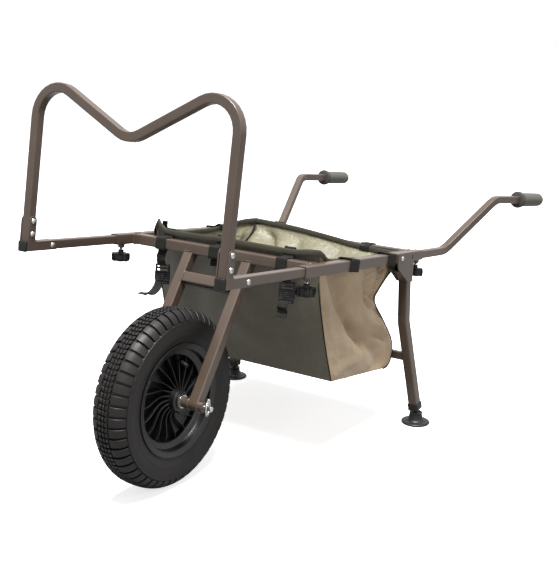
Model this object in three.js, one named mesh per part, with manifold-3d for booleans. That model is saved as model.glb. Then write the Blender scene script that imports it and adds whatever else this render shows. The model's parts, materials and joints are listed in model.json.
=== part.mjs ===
// Fishing trolley: a one-wheeled barrow with a slung tackle bag. Millimetres, +Z up.
// The wheel leads on -Y, the handles trail on +Y, and +X is the left of whoever pushes it.
// The ground is z = 0 and the origin lies under the middle of the whole trolley.
import * as THREE from "three";
import { mergeVertices } from "three/addons/utils/BufferGeometryUtils.js";
import Module from "manifold-3d";

const wasm = await Module();
wasm.setup();

// Fits shared by all pieces
const gap = 0.3; // left between pieces that touch
const slideGap = 0.5; // round a tube that slides in another
const overrun = 6; // how far a cutting tool runs past what it cuts

// Tube stock
const frameTube = { width: 25, wall: 2, corner: 3 };
const slideTube = { width: frameTube.width - 2 * (frameTube.wall + slideGap), wall: 1.5, corner: 2.5 };

// Chassis: measured from the line through the two leg pivots, at mid height of the side rails
const railSpacing = 521.6;
const railFront = 443;
const railBack = 123;
const frontCrossRailAt = 376;
const rearCrossRailAt = 85;

// Wheel and axle
const wheel = { radius: 200, forward: 538, drop: 308.4, sides: 36 };
const tyre = { width: 92, high: 82, wall: 7.5, bead: 9.5, flangeUp: 9 };
const rim = {
  flangeGrip: 4,
  wall: 4,
  wellDeep: 17,
  wellWidth: 30,
  web: 6,
  hubRadius: 24,
  hubHalf: 40,
  noseRadius: 18,
  noseHalf: 47,
  ribs: 18,
  ribThick: 3,
  ribHigh: 17,
  ribSteps: 3,
  swirl: 0.55, // radians between a rib's foot and its tip
  ribTurn: 0.283,
};
const tubeRubber = 3;
const axle = { radius: 6, endAt: 126, headRadius: 10, headThick: 6, sides: 16 };
const bearing = { radius: 15, width: 11 };
const washer = { radius: 15, thick: 2.5 };
const valve = {
  radius: 3.2,
  capRadius: 5.5,
  capLong: 18,
  fromCentre: 10,
  bendRadius: 9,
  elbowIn: 30, // inside the bead
  end: { out: 44, in: 41 },
  turn: -0.247,
};

// Fork
const fork = {
  spacing: 164,
  topAt: 378,
  crossbarUp: 276,
  sleeveRadius: 12.5,
  sleeveLong: 56,
  tieRadius: 3,
};
const lynch = { radius: 2.5, at: 116, headRadius: 4.5, headHigh: 9, ringRadius: 16.5, wire: 1.5, turn: 0.4 };

// Front load bar on its sliding arms
const bar = {
  postForward: 714.9,
  lean: 0.054,
  top: 347.4,
  vee: 240.9,
  shoulderBend: 62,
  veeBend: 60,
  passes: 8,
};
const armInside = 140;
const bracket = { thick: 3, reach: 76, screwRise: [26.8, 54.5], screwBack: 61, screwRadius: 2.5, fillet: 5, topRadius: 9 };
const domeHead = { radius: 5.8, high: 3.2 };
const plug = { thick: 4, insert: 9, corner: 5 };

// Clamping knobs under the rails
const knob = {
  frontAt: 418,
  rearAt: 111,
  radius: 21.5,
  lobes: 7,
  lobeSides: 5,
  lobeDeep: 2.2,
  high: 18,
  edge: 4,
  neckRadius: 6.5,
  neckHigh: 8,
  stud: 4,
  bareStud: 7,
  bossRadius: 8,
  bossHigh: 7,
};

// Handles
const handle = {
  inside: 103,
  lowerBendAt: 276,
  upperBend: { out: 58.4, back: 460.3, up: 140 },
  end: { out: 76.5, back: 759, up: 136 },
  bend: 60,
};
const grip = { long: 158, radius: 19.5, flangeRadius: 24, flangeLong: 14, endCap: 12, sides: 16 };

// Folding rear legs
const leg = {
  corner: { back: 56.6, down: 54.6 },
  knee: { back: 76.7, down: 169 },
  ball: { out: 33, back: 138.2, down: 418.1 },
  topSlope: 0.66,
  topLong: 62,
  cornerBend: 18,
  kneeBend: 60,
  crossbarDown: 263.5,
  pivotRadius: 4,
  pivotHead: 7,
};
const gusset = { thick: 3, front: 20, back: 66, frontDown: 27, heelDown: 63.5, slotAt: 56, slotHalf: 2, slotLong: 12 };
const foot = {
  radius: 37,
  edge: 3,
  plate: 6,
  coneRadius: 19,
  topRadius: 15.5,
  ballRadius: 10,
  ballHeight: 24,
  rise: 6,
  socketSteps: 4,
  sides: 24,
};
const footStem = { radius: 4, from: 15, collarLong: 17, collarWall: 1.5 };

// Tackle bag slung between the rails
const cloth = 2.5;
const webbing = { thick: 3, width: 50, lap: 14 };
const bag = {
  rim: 26, // at the middle of the mouth, which sags to the left
  sag: 11.5,
  binding: 25,
  bindingThick: 4,
  frontBottom: { forward: 224, down: 280 },
  rearBottom: { back: 74, down: 292 },
  belly: { back: 80, down: 240 },
  pinch: { forward: 46, down: 100 },
  rearTop: { back: 66, down: 12 },
};
const sideLoopsAt = [-237, -52];
const rearLoopsAt = [-135, 135];
const strap = { width: 25, thick: 2, buckleWide: 36, buckleLong: 46, buckleThick: 10 };
const frontStraps = [
  { at: -164, long: 34, tail: 40, buckled: true },
  { at: -8, long: 16, tail: 0, buckled: false },
  { at: 181, long: 34, tail: 14, buckled: true },
];

// Facets
const sectionSteps = 2; // per rounded corner
const bendStep = 0.21; // radians
const hexagon = 6;
const holeSides = 8;
const roundSides = 16;

// Derived places
const railAt = railSpacing / 2;
const halfFrame = frameTube.width / 2;
const halfSlide = slideTube.width / 2;
const beadRadius = wheel.radius - tyre.high;
const flangeRadius = beadRadius + tyre.flangeUp;
const wellRadius = beadRadius - rim.wellDeep;
const strapTop = -halfFrame - 2 * gap - webbing.thick;
const axleAt = new THREE.Vector3(0, -wheel.forward, -wheel.drop);
const forkTop = new THREE.Vector3(0, -fork.topAt, -halfFrame);
const forkUp = forkTop.clone().sub(axleAt).normalize();
const alongX = new THREE.Vector3(1, 0, 0);
const sides = { left: 1, right: -1 };

const finish = (color, roughness, metalness = 0) =>
  new THREE.MeshStandardMaterial({ color, roughness, metalness, flatShading: true });
const bronze = finish(0x5f5046, 0.4, 0.35);
const steel = finish(0xc9c9c6, 0.25, 0.9);
const blackPlastic = finish(0x17181a, 0.45);
const rubber = finish(0x242426, 0.8);
const gripRubber = finish(0x4c4d50, 0.75);
const oliveCloth = finish(0x4d4e42, 0.9);
const khakiCloth = finish(0x94836b, 0.9);
const bindingTape = finish(0x33352c, 0.85);

// Closed geometry from three.js turned into a solid whose faces look outwards, and back
function solid(geometry) {
  const bare = geometry.index ? geometry.toNonIndexed() : geometry.clone();
  bare.deleteAttribute("normal");
  bare.deleteAttribute("uv");
  const merged = mergeVertices(bare);
  const corners = merged.index.array;
  const kept = [];
  for (let i = 0; i < corners.length; i += 3) {
    const [a, b, c] = corners.slice(i, i + 3);
    if (a !== b && b !== c && c !== a) kept.push(a, b, c);
  }
  const vertProperties = merged.attributes.position.array;
  const made = (triVerts) => new wasm.Manifold(new wasm.Mesh({ numProp: 3, vertProperties, triVerts }));
  const first = made(new Uint32Array(kept));
  return first.volume() > 0 ? first : made(new Uint32Array(kept).reverse());
}

function geometryOf(made) {
  const mesh = made.getMesh();
  const geometry = new THREE.BufferGeometry();
  geometry.setAttribute("position", new THREE.BufferAttribute(mesh.vertProperties, 3));
  geometry.setIndex(new THREE.BufferAttribute(mesh.triVerts, 1));
  geometry.computeVertexNormals();
  return geometry;
}

const joined = (...parts) => geometryOf(parts.map(solid).reduce((a, b) => a.add(b)));
const cut = (body, ...tools) => geometryOf(tools.map(solid).reduce((a, b) => a.subtract(b), solid(body)));
const closed = (geometry) => geometryOf(solid(geometry));

// An outline through corners [u, v, radius], each corner rounded by its radius
function rounded(corners, steps = sectionSteps) {
  const points = [];
  corners.forEach(([u, v, radius = 0], i) => {
    const here = new THREE.Vector2(u, v);
    const before = corners.at(i - 1);
    const after = corners[(i + 1) % corners.length];
    const into = here.clone().sub(new THREE.Vector2(before[0], before[1])).normalize();
    const out = new THREE.Vector2(after[0], after[1]).sub(here).normalize();
    const turn = Math.acos(THREE.MathUtils.clamp(into.dot(out), -1, 1));
    if (!radius || turn === 0) {
      points.push(here);
      return;
    }
    const start = here.clone().addScaledVector(into, -radius * Math.tan(turn / 2));
    const inward = out.clone().addScaledVector(into, -into.dot(out)).normalize();
    const centre = start.clone().addScaledVector(inward, radius);
    for (let k = 0; k <= steps; k++) {
      const angle = (turn * k) / steps;
      const point = centre.clone().addScaledVector(inward, -radius * Math.cos(angle));
      points.push(point.addScaledVector(into, radius * Math.sin(angle)));
    }
  });
  return points;
}

const squareOutline = (width, corner) => {
  const half = width / 2;
  return rounded([
    [-half, -half, corner],
    [half, -half, corner],
    [half, half, corner],
    [-half, half, corner],
  ]);
};

const circleOutline = (radius, count, u = 0, v = 0) =>
  Array.from({ length: count }, (_, i) => {
    const angle = (2 * Math.PI * i) / count;
    return new THREE.Vector2(u + radius * Math.cos(angle), v + radius * Math.sin(angle));
  });

function shapeOf(outline, ...holes) {
  const shape = new THREE.Shape(outline);
  holes.forEach((hole) => shape.holes.push(new THREE.Path(hole)));
  return shape;
}

const tubeSection = ({ width, wall, corner }) =>
  shapeOf(squareOutline(width, corner), squareOutline(width - 2 * wall, 0));

const barSection = ({ width, corner }, margin = 0) => shapeOf(squareOutline(width + 2 * margin, corner));

// A route of straight runs joined by round bends, with one ring of vertices at each station
class BentRoute extends THREE.Curve {
  constructor(corners, bendRadius, side) {
    super();
    this.points = [];
    this.tangents = [];
    corners.forEach((corner, i) => {
      const into = i > 0 && corner.clone().sub(corners[i - 1]).normalize();
      const out = i < corners.length - 1 && corners[i + 1].clone().sub(corner).normalize();
      if (!into || !out) this.station(corner, into || out);
      else this.bend(corner, into, out, Array.isArray(bendRadius) ? bendRadius[i - 1] : bendRadius);
    });
    const first = this.tangents[0];
    this.normals = [side.clone().addScaledVector(first, -side.dot(first)).normalize()];
    for (let i = 1; i < this.points.length; i++) {
      const turn = new THREE.Quaternion().setFromUnitVectors(this.tangents[i - 1], this.tangents[i]);
      this.normals.push(this.normals[i - 1].clone().applyQuaternion(turn));
    }
    this.binormals = this.tangents.map((t, i) => t.clone().cross(this.normals[i]));
  }
  station(point, tangent) {
    this.points.push(point);
    this.tangents.push(tangent);
  }
  bend(corner, into, out, radius) {
    const turn = into.angleTo(out);
    const start = corner.clone().addScaledVector(into, -radius * Math.tan(turn / 2));
    const inward = out.clone().addScaledVector(into, -into.dot(out)).normalize();
    const centre = start.clone().addScaledVector(inward, radius);
    const steps = Math.max(1, Math.ceil(turn / bendStep));
    for (let k = 0; k <= steps; k++) {
      const angle = (turn * k) / steps;
      const point = centre.clone().addScaledVector(inward, -radius * Math.cos(angle));
      const tangent = into.clone().multiplyScalar(Math.cos(angle));
      this.station(
        point.addScaledVector(into, radius * Math.sin(angle)),
        tangent.addScaledVector(inward, Math.sin(angle)),
      );
    }
  }
  getSpacedPoints() {
    return this.points;
  }
  computeFrenetFrames() {
    return this;
  }
}

function along(section, corners, side = alongX, bendRadius = 0) {
  const extrudePath = new BentRoute(corners, bendRadius, side);
  return new THREE.ExtrudeGeometry(section, {
    steps: extrudePath.points.length - 1,
    extrudePath,
    curveSegments: 1,
  });
}

const at = (x, y, z) => new THREE.Vector3(x, y, z);

// A round bar or bush between two points
const round = (radius, from, to, count = roundSides) => {
  const side = Math.abs(to.x - from.x) > Math.abs(to.z - from.z) ? at(0, 1, 0) : alongX;
  return along(shapeOf(circleOutline(radius, count)), [from, to], side);
};
const bush = (radius, bore, from, to, count = roundSides) =>
  along(shapeOf(circleOutline(radius, count), circleOutline(bore, count)), [from, to], at(0, 1, 0));

// A flat shape drawn in (y, z) with its thickness along x, from x = low
function plate(shape, low, thick) {
  const geometry = new THREE.ExtrudeGeometry(shape, { depth: thick, bevelEnabled: false, curveSegments: 1 });
  const turned = new THREE.Matrix4().makeBasis(at(0, 1, 0), at(0, 0, 1), at(1, 0, 0));
  return geometry.applyMatrix4(turned.setPosition(low, 0, 0));
}

// A ring turned about the X axis from a closed outline of [x, radius]
function turnedAboutX(outline, count) {
  const points = outline.map(([x, radius]) => new THREE.Vector2(radius, x));
  return new THREE.LatheGeometry([...points, points[0].clone()], count).rotateZ(-Math.PI / 2);
}

// A solid of revolution about Z from an outline of [radius, z] that starts and ends on the axis
const turnedAboutZ = (outline, count) =>
  new THREE.LatheGeometry(outline.map(([radius, z]) => new THREE.Vector2(radius, z)), count).rotateX(Math.PI / 2);

const trolley = new THREE.Group();
const chassis = new THREE.Group();
trolley.add(chassis);

function add(name, geometry, material, parent = chassis) {
  const mesh = new THREE.Mesh(geometry, material);
  mesh.name = name;
  parent.add(mesh);
  return mesh;
}

// A dome-headed bolt along X with a head on each outer face
function domeBolt(shank, head, y, z, low, high) {
  const dome = (x, outward) => {
    const profile = [
      [0, head.high],
      [head.radius * Math.SQRT1_2, head.high * Math.SQRT1_2],
      [head.radius, 0],
      [0, 0],
    ];
    const geometry = turnedAboutZ(profile, holeSides).rotateY((outward * Math.PI) / 2);
    return geometry.translate(x + outward * gap, y, z);
  };
  return joined(
    round(shank, at(low - 2 * gap, y, z), at(high + 2 * gap, y, z), holeSides),
    dome(low, -1),
    dome(high, 1),
  );
}

// Side rails and cross rails
function rails() {
  for (const [name, side] of Object.entries(sides)) {
    const x = side * railAt;
    const tube = along(tubeSection(frameTube), [at(x, -railFront, 0), at(x, railBack, 0)]);
    const under = -halfFrame - knob.bossHigh;
    const boss = (y) => round(knob.bossRadius, at(x, y, under), at(x, y, frameTube.wall - halfFrame));
    const studHole = (y) => round(knob.stud + gap, at(x, y, under - overrun), at(x, y, 0), holeSides);
    const pivotHole = round(
      leg.pivotRadius + gap,
      at(x - halfFrame - overrun, 0, 0),
      at(x + halfFrame + overrun, 0, 0),
      holeSides,
    );
    const places = [-knob.frontAt, knob.rearAt];
    const welded = joined(tube, ...places.map(boss));
    add("main_rail_" + name, cut(welded, ...places.map(studHole), pivotHole), bronze);
  }
  const reach = railAt - halfFrame - gap;
  for (const [name, y] of [
    ["front_cross_rail", -frontCrossRailAt],
    ["rear_cross_rail", rearCrossRailAt],
  ]) {
    add(name, along(tubeSection(frameTube), [at(-reach, y, 0), at(reach, y, 0)], at(0, 1, 0)), bronze);
  }
}

// Fork: two raked legs, each welded to a sleeve for the axle, with a crossbar and a tie rod
function forkFrame() {
  const onLeg = (x, distance) => at(x, 0, 0).add(axleAt).addScaledVector(forkUp, distance);
  const length = forkTop.distanceTo(axleAt);
  const reach = fork.spacing / 2 - halfFrame - gap;
  const sleeveEnd = sleeveStart() + fork.sleeveLong;
  for (const [name, side] of Object.entries(sides)) {
    const x = (side * fork.spacing) / 2;
    const tube = along(tubeSection(frameTube), [onLeg(x, 0), onLeg(x, length + overrun)]);
    const railRoom = along(
      barSection(frameTube, gap),
      [at(x - halfFrame - overrun, -frontCrossRailAt, 0), at(x + halfFrame + overrun, -frontCrossRailAt, 0)],
      at(0, 1, 0),
    );
    const sleeve = (radius, extra) =>
      round(
        radius,
        at(side * (sleeveStart() - extra), axleAt.y, axleAt.z),
        at(side * (sleeveEnd + extra), axleAt.y, axleAt.z),
        axle.sides,
      );
    const welded = joined(tube, sleeve(fork.sleeveRadius, 0));
    add("fork_leg_" + name, cut(welded, railRoom, sleeve(axle.radius + gap, overrun)), bronze);
  }
  const bars = [onLeg(-reach, fork.crossbarUp), onLeg(reach, fork.crossbarUp)];
  const square = at(0, forkUp.z, -forkUp.y);
  add("fork_crossbar", along(tubeSection(frameTube), bars, square), bronze);
  const tieUp = fork.crossbarUp - halfFrame - fork.tieRadius - gap;
  add("fork_tie_rod", round(fork.tieRadius, onLeg(-reach, tieUp), onLeg(reach, tieUp), holeSides), bronze);
}

function sleeveStart() {
  return rim.noseHalf + washer.thick + 2 * gap;
}

function axleSet() {
  const { y, z } = axleAt;
  const headAt = sleeveStart() + fork.sleeveLong + gap;
  const pinRoom = round(
    lynch.radius + gap,
    at(lynch.at, y, z - axle.radius - overrun),
    at(lynch.at, y, z + axle.radius + overrun),
    holeSides,
  );
  const rod = joined(
    round(axle.radius, at(-headAt - axle.headThick, y, z), at(axle.endAt, y, z), axle.sides),
    round(axle.headRadius, at(-headAt - axle.headThick, y, z), at(-headAt, y, z), hexagon),
  );
  add("axle", cut(rod, pinRoom), steel);
  for (const [name, side] of Object.entries(sides)) {
    const from = at(side * (rim.noseHalf + gap), y, z);
    const to = at(side * (rim.noseHalf + gap + washer.thick), y, z);
    add("axle_washer_" + name, closed(bush(washer.radius, axle.radius + gap, from, to)), steel);
  }
}

// Lynch pin through the axle's end, with its sprung ring folded over the end
function lynchPin() {
  const frame = new THREE.Group();
  frame.position.set(lynch.at, axleAt.y, axleAt.z);
  frame.rotation.z = lynch.turn;
  chassis.add(frame);
  const hingeUp = lynch.ringRadius;
  const pinTip = lynch.ringRadius - lynch.wire - 2 * gap;
  const halfHead = lynch.headHigh / 2;
  const pin = joined(
    round(lynch.radius, at(0, 0, -pinTip), at(0, 0, hingeUp), holeSides),
    round(lynch.headRadius, at(0, 0, hingeUp - halfHead), at(0, 0, hingeUp + halfHead), holeSides),
  );
  const reach = lynch.headRadius + overrun;
  const wireRoom = round(lynch.wire + gap, at(0, -reach, hingeUp), at(0, reach, hingeUp), holeSides);
  add("lynch_pin", cut(pin, wireRoom), steel, frame);
  const open = Math.asin((lynch.headRadius + lynch.wire) / lynch.ringRadius);
  const stations = Array.from({ length: roundSides + 1 }, (_, i) => {
    const angle = open + (i / roundSides) * 2 * (Math.PI - open);
    return at(0, Math.sin(angle), Math.cos(angle)).multiplyScalar(lynch.ringRadius);
  });
  const ends = [stations[0], stations.at(-1)];
  const loop = along(shapeOf(circleOutline(lynch.wire, hexagon)), stations, alongX, 0);
  const pivot = round(lynch.wire, at(0, ends[1].y, hingeUp), at(0, ends[0].y, hingeUp), hexagon);
  const links = ends.map((end) => round(lynch.wire, end, at(0, end.y, hingeUp), hexagon));
  add("lynch_ring", joined(loop, pivot, ...links), steel, frame);
}

// The hollow of the tyre as [share of half width, share of its height above the bead]
const cavityShares = [
  [0.74, 0],
  [0.74, 0.2],
  [1, 0.48],
  [0.9, 0.8],
  [0, 1],
];

function mirrored(outline) {
  const back = outline.slice(0, -1).reverse();
  return [...outline, ...back.map(([x, radius]) => [-x, radius])];
}

function wheelSet() {
  const spin = new THREE.Group();
  spin.position.copy(axleAt);
  chassis.add(spin);
  const half = tyre.width / 2;
  const beadOut = half - tyre.bead;
  const outer = mirrored([
    [beadOut, beadRadius],
    [beadOut, flangeRadius + 2 * gap],
    [half - tyre.wall / 4, flangeRadius + 2 * tyre.wall],
    [half, wheel.radius - 5 * tyre.wall],
    [half - tyre.wall / 2, wheel.radius - 2.5 * tyre.wall],
    [half / 2 + tyre.wall / 2, wheel.radius - tyre.wall / 2],
    [0, wheel.radius],
  ]);
  const cavityHalf = half - tyre.wall;
  const cavityHigh = wheel.radius - tyre.wall - beadRadius;
  const cavity = (inset) =>
    mirrored(
      cavityShares.map(([across, up]) => [
        across * (cavityHalf - inset),
        beadRadius + inset + up * (cavityHigh - 2 * inset),
      ]),
    );
  const casing = [...outer, ...cavity(0).reverse()];
  add("tyre", closed(turnedAboutX(casing, wheel.sides)), rubber, spin);

  const stemFoot = beadRadius + gap + tubeRubber;
  const stemTop = at(valve.fromCentre, 0, stemFoot);
  const elbow = at(valve.fromCentre, 0, beadRadius - valve.elbowIn);
  const stemEnd = at(valve.end.out, 0, beadRadius - valve.end.in);
  const outward = stemEnd.clone().sub(elbow).normalize();
  const capFrom = stemEnd.clone().addScaledVector(outward, -valve.capLong);
  const stemSection = shapeOf(circleOutline(valve.radius, holeSides));
  const stem = joined(
    along(stemSection, [stemTop, elbow, stemEnd], at(0, 1, 0), valve.bendRadius),
    round(valve.capRadius, capFrom, stemEnd.clone().addScaledVector(outward, gap), holeSides),
  );
  add("valve_stem", stem.rotateX(valve.turn), blackPlastic, spin);
  const above = stemTop.clone().add(at(0, 0, tubeRubber));
  const stemRoom = round(valve.radius + gap, elbow, above, holeSides).rotateX(valve.turn);
  const skin = turnedAboutX(cavity(gap), wheel.sides);
  const air = turnedAboutX(cavity(gap + tubeRubber), wheel.sides);
  add("inner_tube", cut(skin, air, stemRoom), rubber, spin);
  add("rim_barrel", cut(rimBarrel(), stemRoom), blackPlastic, spin);
  add("rim_centre", rimCentre(), blackPlastic, spin);

  for (const [name, side] of Object.entries(sides)) {
    const from = at(side * (rim.noseHalf - bearing.width), 0, 0);
    const race = bush(bearing.radius, axle.radius + gap, from, at(side * rim.noseHalf, 0, 0));
    add("wheel_bearing_" + name, closed(race), steel, spin);
  }
  return spin;
}

// Barrel of the plastic rim: flanges, bead seats and well
function rimBarrel() {
  const half = tyre.width / 2;
  const seat = half - tyre.bead + gap;
  const seatRadius = beadRadius - gap;
  const halfWell = rim.wellWidth / 2;
  const barrelOut = seat + rim.flangeGrip;
  const right = [
    [halfWell + rim.wall, wellRadius - rim.wall],
    [halfWell + 2 * rim.wall, seatRadius - rim.wall],
    [seat, seatRadius - rim.wall],
    [barrelOut, flangeRadius - rim.wall / 2],
    [barrelOut, flangeRadius],
    [seat, flangeRadius],
    [seat, seatRadius],
    [halfWell + rim.wall, seatRadius],
    [halfWell, wellRadius],
  ];
  const left = right.map(([x, radius]) => [-x, radius]).reverse();
  return turnedAboutX([...right, ...left], wheel.sides);
}

// Centre of the plastic rim: hub, web and curved ribs, up to the barrel
function rimCentre() {
  const boreRadius = bearing.radius + gap;
  const webRadius = wellRadius - rim.wall - gap;
  const reach = rim.web / 2 + rim.ribHigh;
  const right = [
    [rim.noseHalf, boreRadius],
    [rim.noseHalf, rim.noseRadius],
    [rim.hubHalf, rim.hubRadius],
    [rim.web / 2, rim.hubRadius],
    [rim.web / 2, webRadius],
  ];
  const left = right.map(([x, radius]) => [-x, radius]).reverse();
  const inner = rim.hubRadius - rim.wall / 2;
  const outer = wellRadius - rim.wall / 2;
  const centreLine = Array.from({ length: rim.ribSteps + 1 }, (_, i) => {
    const share = i / rim.ribSteps;
    return { radius: inner + share * (outer - inner), angle: rim.swirl * Math.sin((share * Math.PI) / 2) };
  });
  const edge = (side) =>
    centreLine.map(({ radius, angle }) => {
      const off = angle + (side * rim.ribThick) / 2 / radius;
      return new THREE.Vector2(radius * Math.cos(off), radius * Math.sin(off));
    });
  const ribShape = shapeOf([...edge(-1), ...edge(1).reverse()]);
  const drum = solid(
    turnedAboutX(
      [
        [reach, boreRadius],
        [reach, webRadius],
        [-reach, webRadius],
        [-reach, boreRadius],
      ],
      wheel.sides,
    ),
  );
  let made = solid(turnedAboutX([...right, ...left], wheel.sides));
  for (let i = 0; i < rim.ribs; i++) {
    const rib = plate(ribShape, -reach, 2 * reach).rotateX(rim.ribTurn + (2 * Math.PI * i) / rim.ribs);
    made = made.add(solid(rib).intersect(drum));
  }
  return geometryOf(made);
}

// Sliding front frame: arms, load bar, brackets, bolts and plugs
function frontFrame() {
  const postBase = halfSlide + gap + halfSlide * Math.tan(bar.lean);
  const armFront = bar.postForward + halfSlide;
  const leaned = new THREE.Group();
  leaned.position.set(0, -bar.postForward, 0);
  leaned.rotation.x = -bar.lean;
  chassis.add(leaned);

  const { shoulderZ, veeZ } = barCorners();
  const corners = [
    at(-railAt, 0, postBase),
    at(-railAt, 0, shoulderZ),
    at(0, 0, veeZ),
    at(railAt, 0, shoulderZ),
    at(railAt, 0, postBase),
  ];
  const bends = [bar.shoulderBend, bar.veeBend, bar.shoulderBend];
  const tube = along(tubeSection(slideTube), corners, at(0, 1, 0), bends);
  const postScrews = (x) =>
    bracket.screwRise.map((z) =>
      round(bracket.screwRadius + gap, at(x - 2 * halfSlide, 0, z), at(x + 2 * halfSlide, 0, z), holeSides),
    );
  add("m_bar", cut(tube, ...postScrews(-railAt), ...postScrews(railAt)), bronze, leaned);

  const lean = Math.tan(bar.lean);
  const screws = [
    ...bracket.screwRise.map((z) => [-bar.postForward + z * lean, z]),
    [-bar.postForward + bracket.screwBack, 0],
  ];
  for (const [name, side] of Object.entries(sides)) {
    const x = side * railAt;
    const arm = along(tubeSection(slideTube), [at(x, -armFront, 0), at(x, -railFront + armInside, 0)]);
    const armScrew = round(
      bracket.screwRadius + gap,
      at(x - 2 * halfSlide, screws[2][0], 0),
      at(x + 2 * halfSlide, screws[2][0], 0),
      holeSides,
    );
    add("arm_" + name, cut(arm, armScrew), bronze);
    const cap = along(
      shapeOf(squareOutline(slideTube.width, plug.corner)),
      [at(x, -armFront - gap - plug.thick, 0), at(x, -armFront - gap, 0)],
    );
    const inside = slideTube.width - 2 * (slideTube.wall + gap);
    const stub = along(
      shapeOf(squareOutline(inside, slideTube.wall)),
      [at(x, -armFront - 2 * gap, 0), at(x, -armFront + plug.insert, 0)],
    );
    add("arm_plug_" + name, joined(cap, stub), blackPlastic);

    const holes = screws.map(([y, z]) => circleOutline(bracket.screwRadius + gap, holeSides, y, z));
    const shape = shapeOf(bracketOutline(), ...holes);
    const face = halfSlide + gap;
    const outerLow = side > 0 ? x + face : x - face - bracket.thick;
    const innerLow = side > 0 ? x - face - bracket.thick : x + face;
    add(`bracket_plate_${name}_outer`, closed(plate(shape, outerLow, bracket.thick)), bronze);
    add(`bracket_plate_${name}_inner`, closed(plate(shape, innerLow, bracket.thick)), bronze);
    const reach = face + bracket.thick;
    screws.forEach(([y, z], i) => {
      const bolt = domeBolt(bracket.screwRadius, domeHead, y, z, x - reach, x + reach);
      add(`bracket_bolt_${name}_${i + 1}`, bolt, steel);
    });
  }
}

// Heights of the bar's shoulder and V corners that give its bends the wanted top and low points
function barCorners() {
  let shoulderZ = bar.top;
  let veeZ = bar.vee;
  for (let pass = 0; pass < bar.passes; pass++) {
    const slope = Math.atan((shoulderZ - veeZ) / railAt);
    const { shoulderBend, veeBend } = bar;
    shoulderZ = bar.top - halfSlide + shoulderBend * ((1 + Math.sin(slope)) / Math.cos(slope) - 1);
    veeZ = bar.vee + halfSlide - veeBend * (1 / Math.cos(slope) - 1);
  }
  return { shoulderZ, veeZ };
}

// L-shaped bracket plate: an arm along the tube and a round-topped limb up the leaning post
function bracketOutline() {
  const lean = Math.tan(bar.lean);
  const top = bracket.screwRise[1] + halfSlide;
  const y = (offset, z) => -bar.postForward + offset + z * lean;
  return rounded(
    [
      [y(-halfSlide, -halfSlide), -halfSlide, bracket.fillet / 2],
      [-bar.postForward + bracket.reach, -halfSlide, bracket.fillet],
      [-bar.postForward + bracket.reach, halfSlide, bracket.fillet],
      [y(halfSlide, halfSlide), halfSlide, bracket.fillet],
      [y(halfSlide, top), top, bracket.topRadius],
      [y(-halfSlide, top), top, bracket.topRadius],
    ],
    sectionSteps + 1,
  );
}

// Star knobs that clamp the sliding tubes
function knobs() {
  const count = knob.lobes * knob.lobeSides;
  const lobed = Array.from({ length: count }, (_, i) => {
    const angle = (2 * Math.PI * i) / count;
    const radius = knob.radius - knob.lobeDeep * (1 - Math.cos(knob.lobes * angle));
    return new THREE.Vector2(radius * Math.cos(angle), radius * Math.sin(angle));
  });
  const smaller = (outline, inset) =>
    outline.map((p) => p.clone().multiplyScalar((knob.radius - inset) / knob.radius));
  const bossEnd = -halfFrame - knob.bossHigh;
  const neckTop = bossEnd - knob.bareStud;
  const headTop = neckTop - knob.neckHigh;
  const headFoot = headTop - knob.high;
  for (const [name, side] of Object.entries(sides)) {
    for (const [place, y] of [
      ["front", -knob.frontAt],
      ["rear", knob.rearAt],
    ]) {
      const x = side * railAt;
      const here = new THREE.Group();
      here.position.set(x, y, 0);
      chassis.add(here);
      const head = starHead(lobed, smaller(lobed, knob.edge), headFoot, headTop);
      const neck = round(knob.neckRadius, at(0, 0, headTop - knob.edge), at(0, 0, neckTop), holeSides);
      const stud = round(knob.stud, at(0, 0, headTop), at(0, 0, -halfSlide - gap), holeSides);
      add(`knob_${place}_${name}`, joined(head, neck, stud), blackPlastic, here);
    }
  }
}

// A lobed head with bevelled rims, from rings of the same outline
function starHead(outline, small, low, high) {
  const bevel = knob.edge;
  const rings = [
    [small, low],
    [outline, low + bevel],
    [outline, high - bevel],
    [small, high],
  ];
  const count = outline.length;
  const position = rings.flatMap(([ring, z]) => ring.flatMap((p) => [p.x, p.y, z]));
  position.push(0, 0, low, 0, 0, high);
  const bottom = rings.length * count;
  const index = [];
  for (let i = 0; i < count; i++) {
    const next = (i + 1) % count;
    for (let ring = 0; ring < rings.length - 1; ring++) {
      const [a, b] = [ring * count + i, ring * count + next];
      index.push(a, b, b + count, a, b + count, a + count);
    }
    const last = (rings.length - 1) * count;
    index.push(bottom, next, i, bottom + 1, last + i, last + next);
  }
  const geometry = new THREE.BufferGeometry();
  geometry.setAttribute("position", new THREE.Float32BufferAttribute(position, 3));
  geometry.setIndex(index);
  return geometry;
}

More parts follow.
